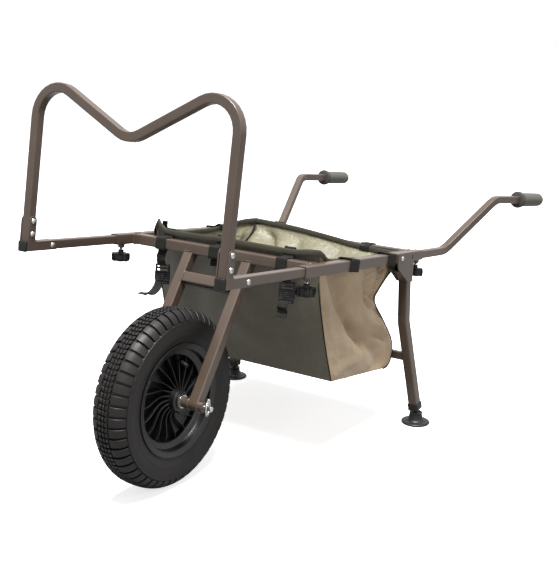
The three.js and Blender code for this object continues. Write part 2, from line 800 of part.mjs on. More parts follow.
// Handles: tubes that slide into the rails' back ends, bent up and out, with rubber grips
function handles() {
  for (const [name, side] of Object.entries(sides)) {
    const x = side * railAt;
    const { upperBend, end } = handle;
    const corners = [
      at(x, railBack - handle.inside, 0),
      at(x, handle.lowerBendAt, 0),
      at(x + side * upperBend.out, upperBend.back, upperBend.up),
      at(x + side * end.out, end.back, end.up),
    ];
    add("handle_" + name, closed(along(tubeSection(slideTube), corners, alongX, handle.bend)), bronze);

    const route = new BentRoute(corners, handle.bend, alongX);
    const outward = route.tangents.at(-1);
    const start = corners[3].clone().addScaledVector(outward, grip.endCap - grip.long);
    const outline = [
      [0, 0],
      [grip.flangeRadius - grip.endCap / 4, 0],
      [grip.flangeRadius, grip.flangeLong / 3],
      [grip.flangeRadius, grip.flangeLong / 2],
      [grip.radius, grip.flangeLong],
      [grip.radius, grip.long - grip.endCap],
      [grip.radius * Math.cos(Math.PI / 6), grip.long - grip.endCap / 2],
      [grip.radius / 2, grip.long - grip.endCap / 12],
      [0, grip.long],
    ];
    const rubberSolid = turnedAboutZ(outline, grip.sides);
    const turn = new THREE.Matrix4().makeBasis(
      route.normals.at(-1),
      route.binormals.at(-1),
      route.tangents.at(-1),
    );
    rubberSolid.applyMatrix4(turn.setPosition(start));
    const bore = along(
      barSection(slideTube, gap),
      [start.clone().addScaledVector(outward, -overrun), corners[3].clone().addScaledVector(outward, gap)],
      route.normals.at(-1),
    );
    add("grip_" + name, cut(rubberSolid, bore), gripRubber);
  }
}

// Where a leg's centre line runs, from under the rail down to the foot's ball
function legRoute(side) {
  const x = side * railAt;
  const corner = at(x, leg.corner.back, -leg.corner.down);
  const top = corner.clone().add(
    at(0, -Math.cos(leg.topSlope), Math.sin(leg.topSlope)).multiplyScalar(leg.topLong),
  );
  const knee = at(x, leg.knee.back, -leg.knee.down);
  const ball = at(x + side * leg.ball.out, leg.ball.back, -leg.ball.down);
  const down = ball.clone().sub(knee).normalize();
  return { top, corner, knee, ball, down };
}

// Folding legs, which turn forwards about the pivot bolts
function legs() {
  const legBends = [leg.cornerBend, leg.kneeBend];
  const legRooms = [];
  for (const [name, side] of Object.entries(sides)) {
    const x = side * railAt;
    const { top, corner, knee, ball, down } = legRoute(side);
    const tubeEnd = ball.clone().addScaledVector(down, -footStem.from - footStem.collarWall - gap);
    const tube = along(tubeSection(frameTube), [top, corner, knee, tubeEnd], alongX, legBends);
    const clear = halfFrame + gap;
    const wide = railAt / 2;
    const box = (low, high) => {
      const size = high.clone().sub(low);
      const centre = low.clone().add(high).multiplyScalar(1 / 2);
      return new THREE.BoxGeometry(size.x, size.y, size.z).translate(centre.x, centre.y, centre.z);
    };
    const railRoom = box(at(x - wide, -leg.topLong, -clear), at(x + wide, 2 * leg.topLong, leg.topLong));
    const foldRoom = box(at(x - wide, -leg.topLong, -leg.ball.down), at(x + wide, clear, leg.topLong));
    const bent = cut(tube, railRoom, foldRoom);
    legRooms.push(along(barSection(frameTube, gap), [corner, knee, tubeEnd], alongX, leg.kneeBend));

    const hole = circleOutline(leg.pivotRadius + gap, holeSides);
    const { slotAt, slotHalf, slotLong } = gusset;
    const slot = rounded([
      [slotAt - slotHalf, -slotLong / 2, slotHalf / 2],
      [slotAt + slotHalf, -slotLong / 2, slotHalf / 2],
      [slotAt + slotHalf, slotLong / 2, slotHalf / 2],
      [slotAt - slotHalf, slotLong / 2, slotHalf / 2],
    ]);
    const outline = gussetOutline();
    const low = x - clear - gusset.thick;
    const outerShape = shapeOf(outline, hole, slot);
    const innerShape = shapeOf(outline, hole);
    const plates = [
      plate(side > 0 ? innerShape : outerShape, low, gusset.thick),
      plate(side > 0 ? outerShape : innerShape, x + clear, gusset.thick),
    ];
    const reach = clear + gusset.thick;
    const weldPin = round(leg.pivotRadius, at(x - reach, corner.y, corner.z), at(x + reach, corner.y, corner.z));
    add("leg_" + name, joined(bent, ...plates, weldPin), bronze);
    const head = { radius: leg.pivotHead, high: domeHead.high };
    add("leg_pivot_bolt_" + name, domeBolt(leg.pivotRadius, head, 0, 0, x - reach, x + reach), steel);
    add("foot_stem_" + name, footStemSolid(ball, down), blackPlastic);
  }

  const { knee, ball } = legRoute(1);
  const share = (leg.crossbarDown - leg.knee.down) / (leg.ball.down - leg.knee.down);
  const end = knee.clone().lerp(ball, share);
  const barTube = along(tubeSection(slideTube), [at(-end.x, end.y, end.z), end], at(0, 1, 0));
  add("leg_crossbar", cut(barTube, ...legRooms), bronze);
}

function gussetOutline() {
  const heelFront = leg.corner.back - halfFrame;
  return rounded([
    [-gusset.front, halfFrame, gusset.thick],
    [-gusset.front, -halfFrame, gusset.thick],
    [gusset.thick - gusset.front, -gusset.frontDown + gusset.thick, gusset.thick],
    [heelFront, -gusset.heelDown, gusset.thick],
    [leg.corner.back + halfFrame, -gusset.heelDown, gusset.thick],
    [gusset.back, halfFrame, gusset.thick],
  ]);
}

// The collar on a leg's end with the ball that the foot turns on
function footStemSolid(ball, down) {
  const onLeg = (distance) => ball.clone().addScaledVector(down, -distance);
  const width = frameTube.width + 2 * (gap + footStem.collarWall);
  const collar = along(
    shapeOf(squareOutline(width, frameTube.corner)),
    [onLeg(footStem.from + footStem.collarLong), onLeg(footStem.from)],
  );
  const socket = along(
    barSection(frameTube, gap),
    [onLeg(footStem.from + footStem.collarLong + overrun), onLeg(footStem.from + footStem.collarWall)],
  );
  const neck = round(footStem.radius, onLeg(footStem.from + gap), ball, holeSides);
  const sphere = new THREE.SphereGeometry(foot.ballRadius, roundSides, roundSides / 2);
  return joined(cut(collar, socket), neck, sphere.translate(ball.x, ball.y, ball.z));
}

// Round feet that stay flat on the ground, each with a socket round its ball
function feet() {
  const room = foot.ballRadius + 2 * gap;
  const socket = Array.from({ length: foot.socketSteps + 1 }, (_, i) => {
    const angle = Math.PI / 5 - (i * 2 * Math.PI) / 15;
    return [room * Math.cos(angle), foot.ballHeight + room * Math.sin(angle)];
  });
  const outline = [
    [0, 0],
    [foot.radius - foot.edge, 0],
    [foot.radius, foot.edge],
    [foot.radius - foot.edge, foot.plate],
    [foot.coneRadius, foot.plate + foot.edge],
    [foot.topRadius, foot.ballHeight + foot.rise - foot.edge / 3],
    [foot.topRadius - foot.edge / 3, foot.ballHeight + foot.rise],
    ...socket,
    [0, foot.ballHeight - room],
  ];
  for (const [name, side] of Object.entries(sides)) {
    const { ball } = legRoute(side);
    const ground = ball.clone().applyMatrix4(chassis.matrix);
    const mesh = add("foot_" + name, closed(turnedAboutZ(outline, foot.sides)), blackPlastic, trolley);
    mesh.position.set(ground.x, ground.y, 0);
  }
}

// Bag panels, drawn in (y, z) and hung inside the rails
function tackleBag() {
  const beside = gusset.thick + domeHead.high + 3 * gap;
  const halfWide = railAt - halfFrame - beside;
  const front = -frontCrossRailAt + halfFrame + 2 * gap + webbing.thick;
  const panelTop = bag.rim - bag.binding - gap;
  const rear = bag.rearTop.back;
  const frontBottom = [-bag.frontBottom.forward, -bag.frontBottom.down];
  const rearEdge = [
    [rear, panelTop],
    [rear, -bag.rearTop.down],
    [-bag.pinch.forward, -bag.pinch.down],
    [bag.belly.back, -bag.belly.down],
    [bag.rearBottom.back, -bag.rearBottom.down],
  ];
  const sagged = (geometry) => {
    const place = geometry.attributes.position;
    for (let i = 0; i < place.count; i++) {
      const shift = place.getZ(i) > panelTop - gap ? (-bag.sag * place.getX(i)) / halfWide : 0;
      place.setZ(i, place.getZ(i) + shift);
    }
    return geometry;
  };
  const points = (list) => list.map(([y, z]) => new THREE.Vector2(y, z));
  const sideOutline = points([[front, panelTop], frontBottom, ...rearEdge.slice().reverse()]);
  const sidePanel = (low) => closed(sagged(plate(shapeOf(sideOutline), low, cloth)));
  add("bag_side_left", sidePanel(halfWide - cloth), khakiCloth);
  add("bag_side_right", sidePanel(-halfWide), khakiCloth);

  const between = halfWide - cloth - gap;
  const panel = (outline) => closed(sagged(plate(shapeOf(points(outline)), -between, 2 * between)));
  const inward = ([y, z], distance) => [y + distance, z];
  const frontOutline = [
    [front, panelTop],
    frontBottom,
    inward(frontBottom, cloth),
    [front + cloth, panelTop],
  ];
  add("bag_front", panel(frontOutline), oliveCloth);
  const rearOutline = [...rearEdge.slice().reverse(), ...rearEdge.map((point) => inward(point, -cloth))];
  add("bag_rear", panel(rearOutline), oliveCloth);
  const floorFront = inward(frontBottom, cloth + gap);
  const floorBack = inward(rearEdge.at(-1), -cloth - gap);
  const lifted = ([y, z]) => [y, z + cloth];
  add("bag_floor", panel([floorFront, floorBack, lifted(floorBack), lifted(floorFront)]), khakiCloth);

  const ring = (inset) => [
    new THREE.Vector2(-halfWide + inset, front + inset),
    new THREE.Vector2(halfWide - inset, front + inset),
    new THREE.Vector2(halfWide - inset, rear - inset),
    new THREE.Vector2(-halfWide + inset, rear - inset),
  ];
  const binding = new THREE.ExtrudeGeometry(shapeOf(ring(0), ring(bag.bindingThick)), {
    depth: bag.binding,
    bevelEnabled: false,
  });
  const hung = webbingLoops(halfWide, front, rear);
  const ringAtRim = sagged(binding.translate(0, 0, bag.rim - bag.binding));
  add("bag_binding", joined(ringAtRim, ...hung), bindingTape);
}

// Webbing loops round the rails, each sewn to the binding by a tab that laps over it
function webbingLoops(halfWide, front, rear) {
  const inner = squareOutline(frameTube.width + 2 * gap, 0);
  const outer = squareOutline(frameTube.width + 2 * (gap + webbing.thick), frameTube.corner + webbing.thick);
  const section = shapeOf(outer, inner);
  const half = webbing.width / 2;
  const tabUp = halfFrame + gap + webbing.thick / 2;
  const tab = (width, long, x, y) => new THREE.BoxGeometry(width, long, webbing.thick).translate(x, y, tabUp);
  const lap = webbing.lap;
  const alongSide = Object.values(sides).flatMap((side) =>
    sideLoopsAt.flatMap((y) => [
      along(section, [at(side * railAt, y - half, 0), at(side * railAt, y + half, 0)]),
      tab(lap, webbing.width, side * (halfWide + lap / 2 - bag.bindingThick / 2), y),
    ]),
  );
  const looseEnds = frontStraps
    .filter((hung) => !hung.buckled)
    .map((hung) => strapSlab(hung.at, strap.width, strap.thick, -halfFrame - gap, strapTop - hung.long - hung.tail));
  const across = (x, y, edge, outward) => [
    along(section, [at(x - half, y, 0), at(x + half, y, 0)], at(0, 1, 0)),
    tab(webbing.width, lap, x, edge + outward * (lap / 2 - bag.bindingThick / 2)),
  ];
  return [
    ...alongSide,
    ...looseEnds,
    ...frontStraps.flatMap((hung) => across(hung.at, -frontCrossRailAt, front, -1)),
    ...rearLoopsAt.flatMap((x) => across(x, rearCrossRailAt, rear, 1)),
  ];
}

// A flat piece that hangs straight down under the front cross rail, between two levels
function strapSlab(x, width, thick, high, low) {
  const slab = new THREE.BoxGeometry(width, thick, high - low);
  return slab.translate(x, -frontCrossRailAt, (high + low) / 2);
}

// Front straps that hang from the outer loops, each with a side-release buckle and a loose tail
function hangStraps() {
  for (const { at: x, long, tail } of frontStraps.filter((hung) => hung.buckled)) {
    const buckleTop = strapTop - long;
    const buckleFoot = buckleTop - strap.buckleLong;
    const webbingStrip = strapSlab(x, strap.width, strap.thick, strapTop, buckleFoot - tail);
    const buckle = strapSlab(x, strap.buckleWide, strap.buckleThick, buckleTop, buckleFoot);
    add("front_strap_" + (x > 0 ? "left" : "right"), joined(webbingStrip, buckle), bindingTape);
  }
}

// The trolley stands on its tyre and two feet, which sets how far the chassis leans back
function standOnGround() {
  const run = -wheel.forward - leg.ball.back;
  const drop = leg.ball.down - wheel.drop;
  const reach = Math.hypot(run, drop);
  const lean = Math.atan2(run, drop) + Math.acos((wheel.radius - foot.ballHeight) / reach);
  chassis.rotation.x = lean;
  chassis.position.z = wheel.radius + Math.sin(lean) * wheel.forward + Math.cos(lean) * wheel.drop;
  chassis.updateMatrix();
  return lean;
}

const lean = standOnGround();
rails();
forkFrame();
axleSet();
lynchPin();
wheelSet().rotation.x = -lean; // a corner of the faceted tyre points straight down
frontFrame();
knobs();
handles();
legs();
feet();
tackleBag();
hangStraps();

trolley.updateMatrixWorld(true);
const middle = new THREE.Box3().setFromObject(trolley, true).getCenter(at(0, 0, 0));
trolley.position.set(-middle.x, -middle.y, 0);
trolley.updateMatrixWorld(true);

export default trolley;
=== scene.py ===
# Fishing trolley: looks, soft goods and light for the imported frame. Metres, +Z up.
import json
import math

import bmesh
import bpy
from mathutils import Matrix, Vector, noise


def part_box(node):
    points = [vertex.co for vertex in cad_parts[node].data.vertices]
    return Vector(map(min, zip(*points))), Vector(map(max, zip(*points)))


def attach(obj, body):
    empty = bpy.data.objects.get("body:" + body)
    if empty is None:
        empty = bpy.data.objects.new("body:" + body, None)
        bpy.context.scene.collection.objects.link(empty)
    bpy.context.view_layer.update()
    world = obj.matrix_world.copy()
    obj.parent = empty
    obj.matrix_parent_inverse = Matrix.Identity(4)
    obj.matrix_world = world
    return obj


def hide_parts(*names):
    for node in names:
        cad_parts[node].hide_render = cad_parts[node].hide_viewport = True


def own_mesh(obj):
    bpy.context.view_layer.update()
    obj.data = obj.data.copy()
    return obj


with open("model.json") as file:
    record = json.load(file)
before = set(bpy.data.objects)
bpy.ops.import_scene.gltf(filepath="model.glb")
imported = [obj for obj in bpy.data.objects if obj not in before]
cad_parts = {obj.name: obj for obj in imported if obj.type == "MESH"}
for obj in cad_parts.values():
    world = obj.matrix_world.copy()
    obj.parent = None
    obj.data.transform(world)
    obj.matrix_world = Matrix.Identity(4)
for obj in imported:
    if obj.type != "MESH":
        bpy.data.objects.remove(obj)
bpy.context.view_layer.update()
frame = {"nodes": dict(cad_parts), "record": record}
record = frame["record"]
joints = {joint["name"]: joint for joint in record["behaviour"]["joints"]}
body_of = {node: body for body, nodes in record["behaviour"]["bodies"].items() for node in nodes}
slot_of = {row["node"]: row["material_slot"] for row in record["subparts"]}

MM = 0.001
# The weld beads' noise takes its offsets from this seed
noise.seed_set(1)

# The chassis leans back on its wheel: its own axes and its origin between the leg pivots
BACK = Vector(joints["handle_slide_left"]["axis"])
RIGHT = Vector((1, 0, 0))
UP = RIGHT.cross(BACK)
ORIGIN = Vector(joints["leg_fold"]["pos_m"])
CHASSIS = Matrix((
    (RIGHT.x, BACK.x, UP.x, ORIGIN.x),
    (RIGHT.y, BACK.y, UP.y, ORIGIN.y),
    (RIGHT.z, BACK.z, UP.z, ORIGIN.z),
    (0, 0, 0, 1),
))


# Camera of the photograph
CAMERA_AT = Vector((1.3223, -2.15591, 0.97168))
CAMERA_YAW = 0.5790
CAMERA_DOWN = 0.2412
CAMERA_ROLL = 0.0279
CAMERA_LENS = 63.61
SENSOR = 36


bpy.context.scene.view_settings.view_transform = "Standard"


def make_camera():
    data = bpy.data.cameras.new("photo_camera")
    data.lens = CAMERA_LENS
    data.sensor_width = SENSOR
    data.clip_end = 50
    camera = bpy.data.objects.new("photo_camera", data)
    bpy.context.collection.objects.link(camera)
    turn = Matrix.Rotation(CAMERA_YAW, 4, "Z") @ Matrix.Rotation(math.pi / 2 - CAMERA_DOWN, 4, "X")
    camera.matrix_world = Matrix.Translation(CAMERA_AT) @ turn @ Matrix.Rotation(CAMERA_ROLL, 4, "Z")
    bpy.context.scene.camera = camera


# Materials
def linear(colour):
    """sRGB hex to linear RGBA."""
    parts = [int(colour[i:i + 2], 16) / 255 for i in (1, 3, 5)]
    return [p / 12.92 if p <= 0.04045 else ((p + 0.055) / 1.055) ** 2.4 for p in parts] + [1]


def add_node(tree, kind, inputs=None, **settings):
    """A node with its settings, and its inputs given as values or as the sockets that feed them."""
    made = tree.nodes.new(kind)
    for name, value in settings.items():
        setattr(made, name, value)
    for key, value in (inputs or {}).items():
        socket = made.inputs[key]
        if isinstance(value, bpy.types.NodeSocket):
            tree.links.new(value, socket)
        else:
            socket.default_value = value
    return made


def start_material(name, roughness=0.5, metallic=0.0, **sockets):
    material = bpy.data.materials.new(name)
    material.use_nodes = True
    shader = material.node_tree.nodes["Principled BSDF"]
    shader.inputs["Roughness"].default_value = roughness
    shader.inputs["Metallic"].default_value = metallic
    for key, value in sockets.items():
        shader.inputs[key.replace("_", " ")].default_value = value
    return material, material.node_tree, shader


def mottled(tree, coordinates, low, high, size, detail=4):
    """Colour that wanders between two hex values over patches of about that size."""
    cloud = add_node(tree, "ShaderNodeTexNoise", {"Vector": coordinates, "Scale": 1 / size, "Detail": detail})
    mix = add_node(
        tree, "ShaderNodeMix", {0: cloud.outputs["Fac"], 6: linear(low), 7: linear(high)}, data_type="RGBA",
    )
    return mix.outputs[2]


def rough_range(tree, coordinates, low, high, size):
    cloud = add_node(tree, "ShaderNodeTexNoise", {"Vector": coordinates, "Scale": 1 / size, "Detail": 3})
    spread = add_node(tree, "ShaderNodeMapRange", {"Value": cloud.outputs["Fac"], 3: low, 4: high})
    return spread.outputs[0]


def grain_bump(tree, coordinates, size, depth):
    cloud = add_node(tree, "ShaderNodeTexNoise", {"Vector": coordinates, "Scale": 1 / size, "Detail": 2})
    bump = add_node(tree, "ShaderNodeBump", {"Height": cloud.outputs["Fac"], "Distance": depth})
    return bump.outputs[0]


def plain_finish(name, low, high, patch, roughness, grain, depth, metallic=0.0, **sockets):
    """A hard finish: mottled colour, wandering roughness and a fine grain, with its sizes in mm."""
    material, tree, shader = start_material(name, metallic=metallic, **sockets)
    place = add_node(tree, "ShaderNodeTexCoord").outputs["Object"]
    tree.links.new(mottled(tree, place, low, high, patch * MM), shader.inputs["Base Color"])
    tree.links.new(rough_range(tree, place, *roughness, patch * MM), shader.inputs["Roughness"])
    tree.links.new(grain_bump(tree, place, grain * MM, depth * MM), shader.inputs["Normal"])
    return material


# Powder coat on steel: satin, slightly metallic, with a faint orange peel of about 1.5 mm
bronze_coat = plain_finish(
    "bronze_powder_coat", "#43372F", "#51443A", 60, (0.34, 0.44), 1.5, 0.04, metallic=0.12,
    Coat_Weight=0.25, Coat_Roughness=0.2,
)
# Bright zinc plate: a grey mirror that is a little blotchy
zinc_plate = plain_finish("bright_zinc_plate", "#B9BAB8", "#DAD9D4", 8, (0.2, 0.34), 0.8, 0.02, metallic=1.0)
# Moulded ABS: near black with a fine spark grain
black_abs = plain_finish(
    "moulded_black_abs", "#0E0E0E", "#181817", 20, (0.38, 0.5), 0.6, 0.03, Specular_IOR_Level=0.35,
)
# Polypropylene rim: black with a soft sheen and flow marks
black_polypropylene = plain_finish("black_polypropylene", "#0B0A0A", "#151312", 30, (0.3, 0.4), 1.2, 0.03)
# Tyre rubber: charcoal, matt, with a dusty bloom in patches
tyre_rubber = plain_finish(
    "tyre_rubber", "#100E0D", "#191615", 25, (0.42, 0.58), 1.0, 0.08, Specular_IOR_Level=0.33,
)
# Foamed grip rubber: mid grey, matt and pored
grip_foam = plain_finish("grip_foam_rubber", "#464540", "#56554F", 15, (0.68, 0.82), 0.7, 0.12)
# Grip collar: the same rubber, darker
collar_foam = plain_finish("grip_collar_rubber", "#23221F", "#2E2D2A", 15, (0.6, 0.72), 0.7, 0.08)

hard_finish = {
    "bronze_paint": bronze_coat,
    "zinc_steel": zinc_plate,
    "black_plastic": black_abs,
    "rim_plastic": black_polypropylene,
    "tyre_rubber": tyre_rubber,
    "tube_rubber": tyre_rubber,
    "grip_rubber": grip_foam,
}


# Modelling helpers
def deselect():
    bpy.ops.object.select_all(action="DESELECT")


def select_all():
    bpy.ops.mesh.select_all(action="SELECT")


def edit_all():
    """Edit mode with the whole mesh selected."""
    bpy.ops.object.mode_set(mode="EDIT")
    select_all()


def object_mode():
    bpy.ops.object.mode_set(mode="OBJECT")


def only(piece):
    """Makes a piece the one active, selected object."""
    deselect()
    piece.select_set(True)
    bpy.context.view_layer.objects.active = piece


def settle(piece):
    """Puts the object's place into its mesh."""
    only(piece)
    bpy.ops.object.transform_apply(location=True, rotation=True, scale=True)


def smooth(piece, angle):
    only(piece)
    bpy.ops.object.shade_smooth_by_angle(angle=math.radians(angle))


def modify(piece, kind, **settings):
    """Adds a modifier and applies it."""
    modifier = piece.modifiers.new(kind.lower(), kind)
    for name, value in settings.items():
        setattr(modifier, name, value)
    only(piece)
    bpy.ops.object.modifier_apply(modifier=modifier.name)


def thicken(sheet, thick, offset=0):
    modify(sheet, "SOLIDIFY", thickness=thick * MM, offset=offset)


def bevel(piece, width, segments, angle):
    """Rounds the edges that turn by more than the angle, with a width in mm."""
    turn = math.radians(angle)
    modify(piece, "BEVEL", width=width * MM, segments=segments, limit_method="ANGLE", angle_limit=turn)


def dress(piece, name, body, slot_name, stands_for=(), finish=None):
    """Names a finished piece, gives it the given finish or its slot's material, hangs it on its body, and hides
    the nodes it stands for.
    """
    piece.name = name
    piece.data.materials.clear()
    piece.data.materials.append(finish or hard_finish[slot_name])
    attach(piece, body)
    if stands_for:
        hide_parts(*stands_for)
    return piece


def skin(node, edge):
    """A merged, smoothly shaded copy of a CAD node, in its place."""
    source = frame["nodes"][node]
    piece = source.copy()
    piece.data = source.data.copy()
    piece.parent = None
    piece.matrix_world = Matrix.Identity(4)
    bpy.context.collection.objects.link(piece)
    only(piece)
    edit_all()
    bpy.ops.mesh.remove_doubles(threshold=0.01 * MM)
    bpy.ops.mesh.dissolve_limited(angle_limit=math.radians(0.5))
    object_mode()
    if edge:
        bevel(piece, edge, 2, 50)
    smooth(piece, 50)
    modify(piece, "WEIGHTED_NORMAL", keep_sharp=True)
    return dress(piece, node + "_skin", body_of[node], slot_of[node], (node,))


# CAD nodes that new pieces stand for, so they get no skin, and tubes, whose corners are round already
REMODELLED = (
    "tyre", "rim_", "lynch_ring", "knob_", "grip_", "foot_left", "foot_right", "arm_plug", "bracket_bolt",
)
TUBES = ("front_cross", "rear_cross", "fork_", "arm_", "m_bar", "handle_", "leg_crossbar")
# Radius of the other edges, in mm
EDGE = 0.4


def make_skins():
    for node in frame["nodes"]:
        if node.startswith(REMODELLED) or slot_of[node] not in hard_finish:
            continue
        skin(node, 0 if node.startswith(TUBES) else EDGE)


def start_line(points, closed=False):
    """A new object in edit mode: one line of edges through the points, drawn out from a single corner."""
    deselect()
    bpy.ops.mesh.primitive_plane_add(size=MM)
    piece = bpy.context.active_object
    bpy.ops.object.mode_set(mode="EDIT")
    bpy.ops.mesh.merge(type="CENTER")
    bpy.ops.transform.translate(value=Vector(points[0]))
    for before, after in zip(points, points[1:]):
        step = Vector(after) - Vector(before)
        bpy.ops.mesh.extrude_region_move(TRANSFORM_OT_translate={"value": step})
    select_all()
    if closed:
        bpy.ops.mesh.edge_face_add()
        bpy.ops.mesh.delete(type="ONLY_FACE")
        select_all()
    return piece


def turned(outline, steps, angle=35, axis="Z", closed=False):
    """A piece turned about its axis from an outline of (along, radius) in mm, smooth up to the angle."""
    piece = start_line([(radius * MM, 0, along * MM) for along, radius in outline], closed)
    bpy.ops.mesh.spin(steps=steps, angle=2 * math.pi, center=(0, 0, 0), axis=(0, 0, 1))
    select_all()
    bpy.ops.mesh.remove_doubles(threshold=0.01 * MM)
    bpy.ops.mesh.normals_make_consistent(inside=False)
    object_mode()
    if axis == "X":
        piece.rotation_euler = (0, math.pi / 2, 0)
    settle(piece)
    if angle:
        smooth(piece, angle)
    return piece


def place(piece, frame_matrix):
    """Moves a piece that was modelled at the origin to its place, and puts the place into its mesh."""
    piece.matrix_world = frame_matrix @ piece.matrix_world
    settle(piece)
    return piece


def box(width, thick, high, x=0.0, z=0.0):
    """A box in mm, centred at (x, z)."""
    deselect()
    bpy.ops.mesh.primitive_cube_add(size=MM, location=(x * MM, 0, z * MM), scale=(width, thick, high))
    made = bpy.context.active_object
    settle(made)
    return made


def twin(piece, frame_matrix):
    """A copy with its own mesh, moved by the matrix."""
    copy = piece.copy()
    copy.data = piece.data.copy()
    bpy.context.collection.objects.link(copy)
    return place(copy, frame_matrix)


def remove(piece):
    bpy.data.objects.remove(piece, do_unlink=True)


def join(pieces):
    """Joins pieces into the first one."""
    deselect()
    for piece in pieces:
        piece.select_set(True)
    bpy.context.view_layer.objects.active = pieces[0]
    bpy.ops.object.join()
    return pieces[0]


def wire(points, radius, closed=False, sides=3):
    """A round wire or cord through the points, as a mesh."""
    data = bpy.data.curves.new("wire", "CURVE")
    data.dimensions = "3D"
    data.bevel_depth = radius
    data.bevel_resolution = sides
    data.use_fill_caps = not closed
    spline = data.splines.new("POLY")
    spline.points.add(len(points) - 1)
    for target, point in zip(spline.points, points):
        target.co = (*point, 1)
    spline.use_cyclic_u = closed
    piece = bpy.data.objects.new("wire", data)
    bpy.context.collection.objects.link(piece)
    only(piece)
    bpy.ops.object.convert(target="MESH")
    return bpy.context.active_object


# Tyre
WHEEL = Vector(joints["wheel_spin"]["pos_m"])
TYRE_RADIUS = 200
PITCHES = 52
TREAD_PITCH = 2 * math.pi * TYRE_RADIUS / PITCHES
TREAD_DEPTH = 5
TREAD_END = 55  # along the outside, from the middle of the tread
# The tread falls by these shares of the distance across, squared and to the fourth power
CROWN = (0.001719, 4.922e-6)


def tyre_curve():
    """The tyre's outside from the middle of the tread to the bead, as (across, radius)."""
    crown = [(x, TYRE_RADIUS - CROWN[0] * x**2 - CROWN[1] * x**4) for x in range(0, 43, 3)]
    return crown + [(43.9, 177.6), (44.9, 173.5), (45.6, 168), (45.8, 161), (45.2, 152), (43.6, 143.5),
                    (41.2, 136), (38.8, 131), (37.4, 128.6)]


def on_tyre(distance, lift):
    """The point at a distance along the outside and a lift off it, as (across, radius)."""
    curve = tyre_curve()
    gone = 0
    for (x0, r0), (x1, r1) in zip(curve, curve[1:]):
        step = math.hypot(x1 - x0, r1 - r0)
        if distance <= gone + step or (x1, r1) == curve[-1]:
            share = (distance - gone) / step
            x = x0 + share * (x1 - x0) + lift * ((r0 - r1) / step)
            return x, r0 + share * (r1 - r0) + lift * ((x1 - x0) / step)
        gone += step


def wrap_on_tyre(piece, mirror):
    """Bends a flat block, drawn as (along the outside, round the wheel, height), onto the tyre."""
    for vertex in piece.data.vertices:
        along, round_wheel, high = (value / MM for value in vertex.co)
        x, radius = on_tyre(abs(along), high - TREAD_DEPTH)
        side = math.copysign(1, along) * mirror
        angle = (round_wheel + 0.25 * mirror * TREAD_PITCH) / TYRE_RADIUS
        vertex.co = Vector((side * x, radius * math.sin(angle), radius * math.cos(angle))) * MM


# Blocks of one pitch, by their corners as (along the outside, round the wheel)
SHOULDER_BAR = ((16.5, -8.2), (54.5, -9.8), (54.5, 9.0), (14.5, 9.9))
MIDDLE_BLOCKS = (
    ((5.4, -11.4), (12.8, -9.0), (12.8, -1.0), (5.4, -3.4)),
    ((5.4, 0.6), (12.8, 3.0), (12.8, 11.0), (5.4, 8.6)),
)
CENTRE_BLOCKS = (
    ((-2.6, -10.2), (2.6, -12.0), (2.6, -3.8), (-2.6, -2.0)),
    ((-2.6, 1.8), (2.6, 0.0), (2.6, 8.2), (-2.6, 10.0)),
)


def tread_block(corners, cuts, mirror):
    """One rubber block of the tread from its four corners, bent onto the tyre."""
    deselect()
    bpy.ops.mesh.primitive_plane_add(size=MM)
    piece = bpy.context.active_object
    order = sorted(piece.data.vertices, key=lambda vertex: (vertex.co.y, vertex.co.x))
    for vertex, corner in zip((order[0], order[1], order[3], order[2]), corners):
        vertex.co = (corner[0] * MM, corner[1] * MM, 0)
    edit_all()
    if cuts:
        bpy.ops.mesh.subdivide(number_cuts=cuts)
    bpy.ops.mesh.extrude_region_move(TRANSFORM_OT_translate={"value": (0, 0, TREAD_DEPTH * MM)})
    select_all()
    bpy.ops.mesh.normals_make_consistent(inside=False)
    object_mode()
    bevel(piece, 0.7, 1, 60)
    wrap_on_tyre(piece, mirror)
    only(piece)
    edit_all()
    bpy.ops.mesh.normals_make_consistent(inside=False)
    object_mode()
    return piece


def round_the_wheel(piece, count):
    """Copies a piece, drawn round the origin, to places all round the X axis."""
    pivot = bpy.data.objects.new("pivot", None)
    bpy.context.collection.objects.link(pivot)
    pivot.rotation_euler = (2 * math.pi / count, 0, 0)
    modify(piece, "ARRAY", count=count, use_relative_offset=False, use_object_offset=True, offset_object=pivot)
    remove(pivot)


def casing_lift(distance):
    """How far the casing lies off the outside: sunk by the tread, and raised in two thin lines."""
    if distance <= TREAD_END - 3:
        return -TREAD_DEPTH
    if distance < TREAD_END + 1:
        return -TREAD_DEPTH * (TREAD_END + 1 - distance) / 4
    if distance < TREAD_END + 4:
        return 0.7
    return 0.6 if 82 < distance < 86 else 0


def make_tyre():
    half = []
    for distance in range(92):
        if distance % 3 == 0 or TREAD_END - 4 <= distance <= TREAD_END + 5 or 81 <= distance <= 87:
            half.append(on_tyre(distance, casing_lift(distance)))
    half += [(37.2, 127.7), (36.6, 118.2), (28.5, 118.2), (28.5, 132.9), (38, 153.8), (34.2, 177.2), (20, 189)]
    mirrored = [(-x, radius) for x, radius in half[:0:-1]]
    casing = turned(half + [(0, 191.5)] + mirrored, 2 * PITCHES, 40, "X", closed=True)
    blocks = []
    for mirror in (1, -1):
        blocks.append(tread_block(SHOULDER_BAR, 9, mirror))
        blocks += [tread_block(corners, 1, mirror) for corners in MIDDLE_BLOCKS]
    blocks += [tread_block(corners, 0, 1) for corners in CENTRE_BLOCKS]
    tread = join(blocks)
    round_the_wheel(tread, PITCHES)
    smooth(tread, 40)
    for piece, name in ((casing, "tyre_casing"), (tread, "tyre_tread")):
        place(piece, Matrix.Translation(WHEEL))
        dress(piece, name, "wheel", "tyre_rubber", ("tyre",))


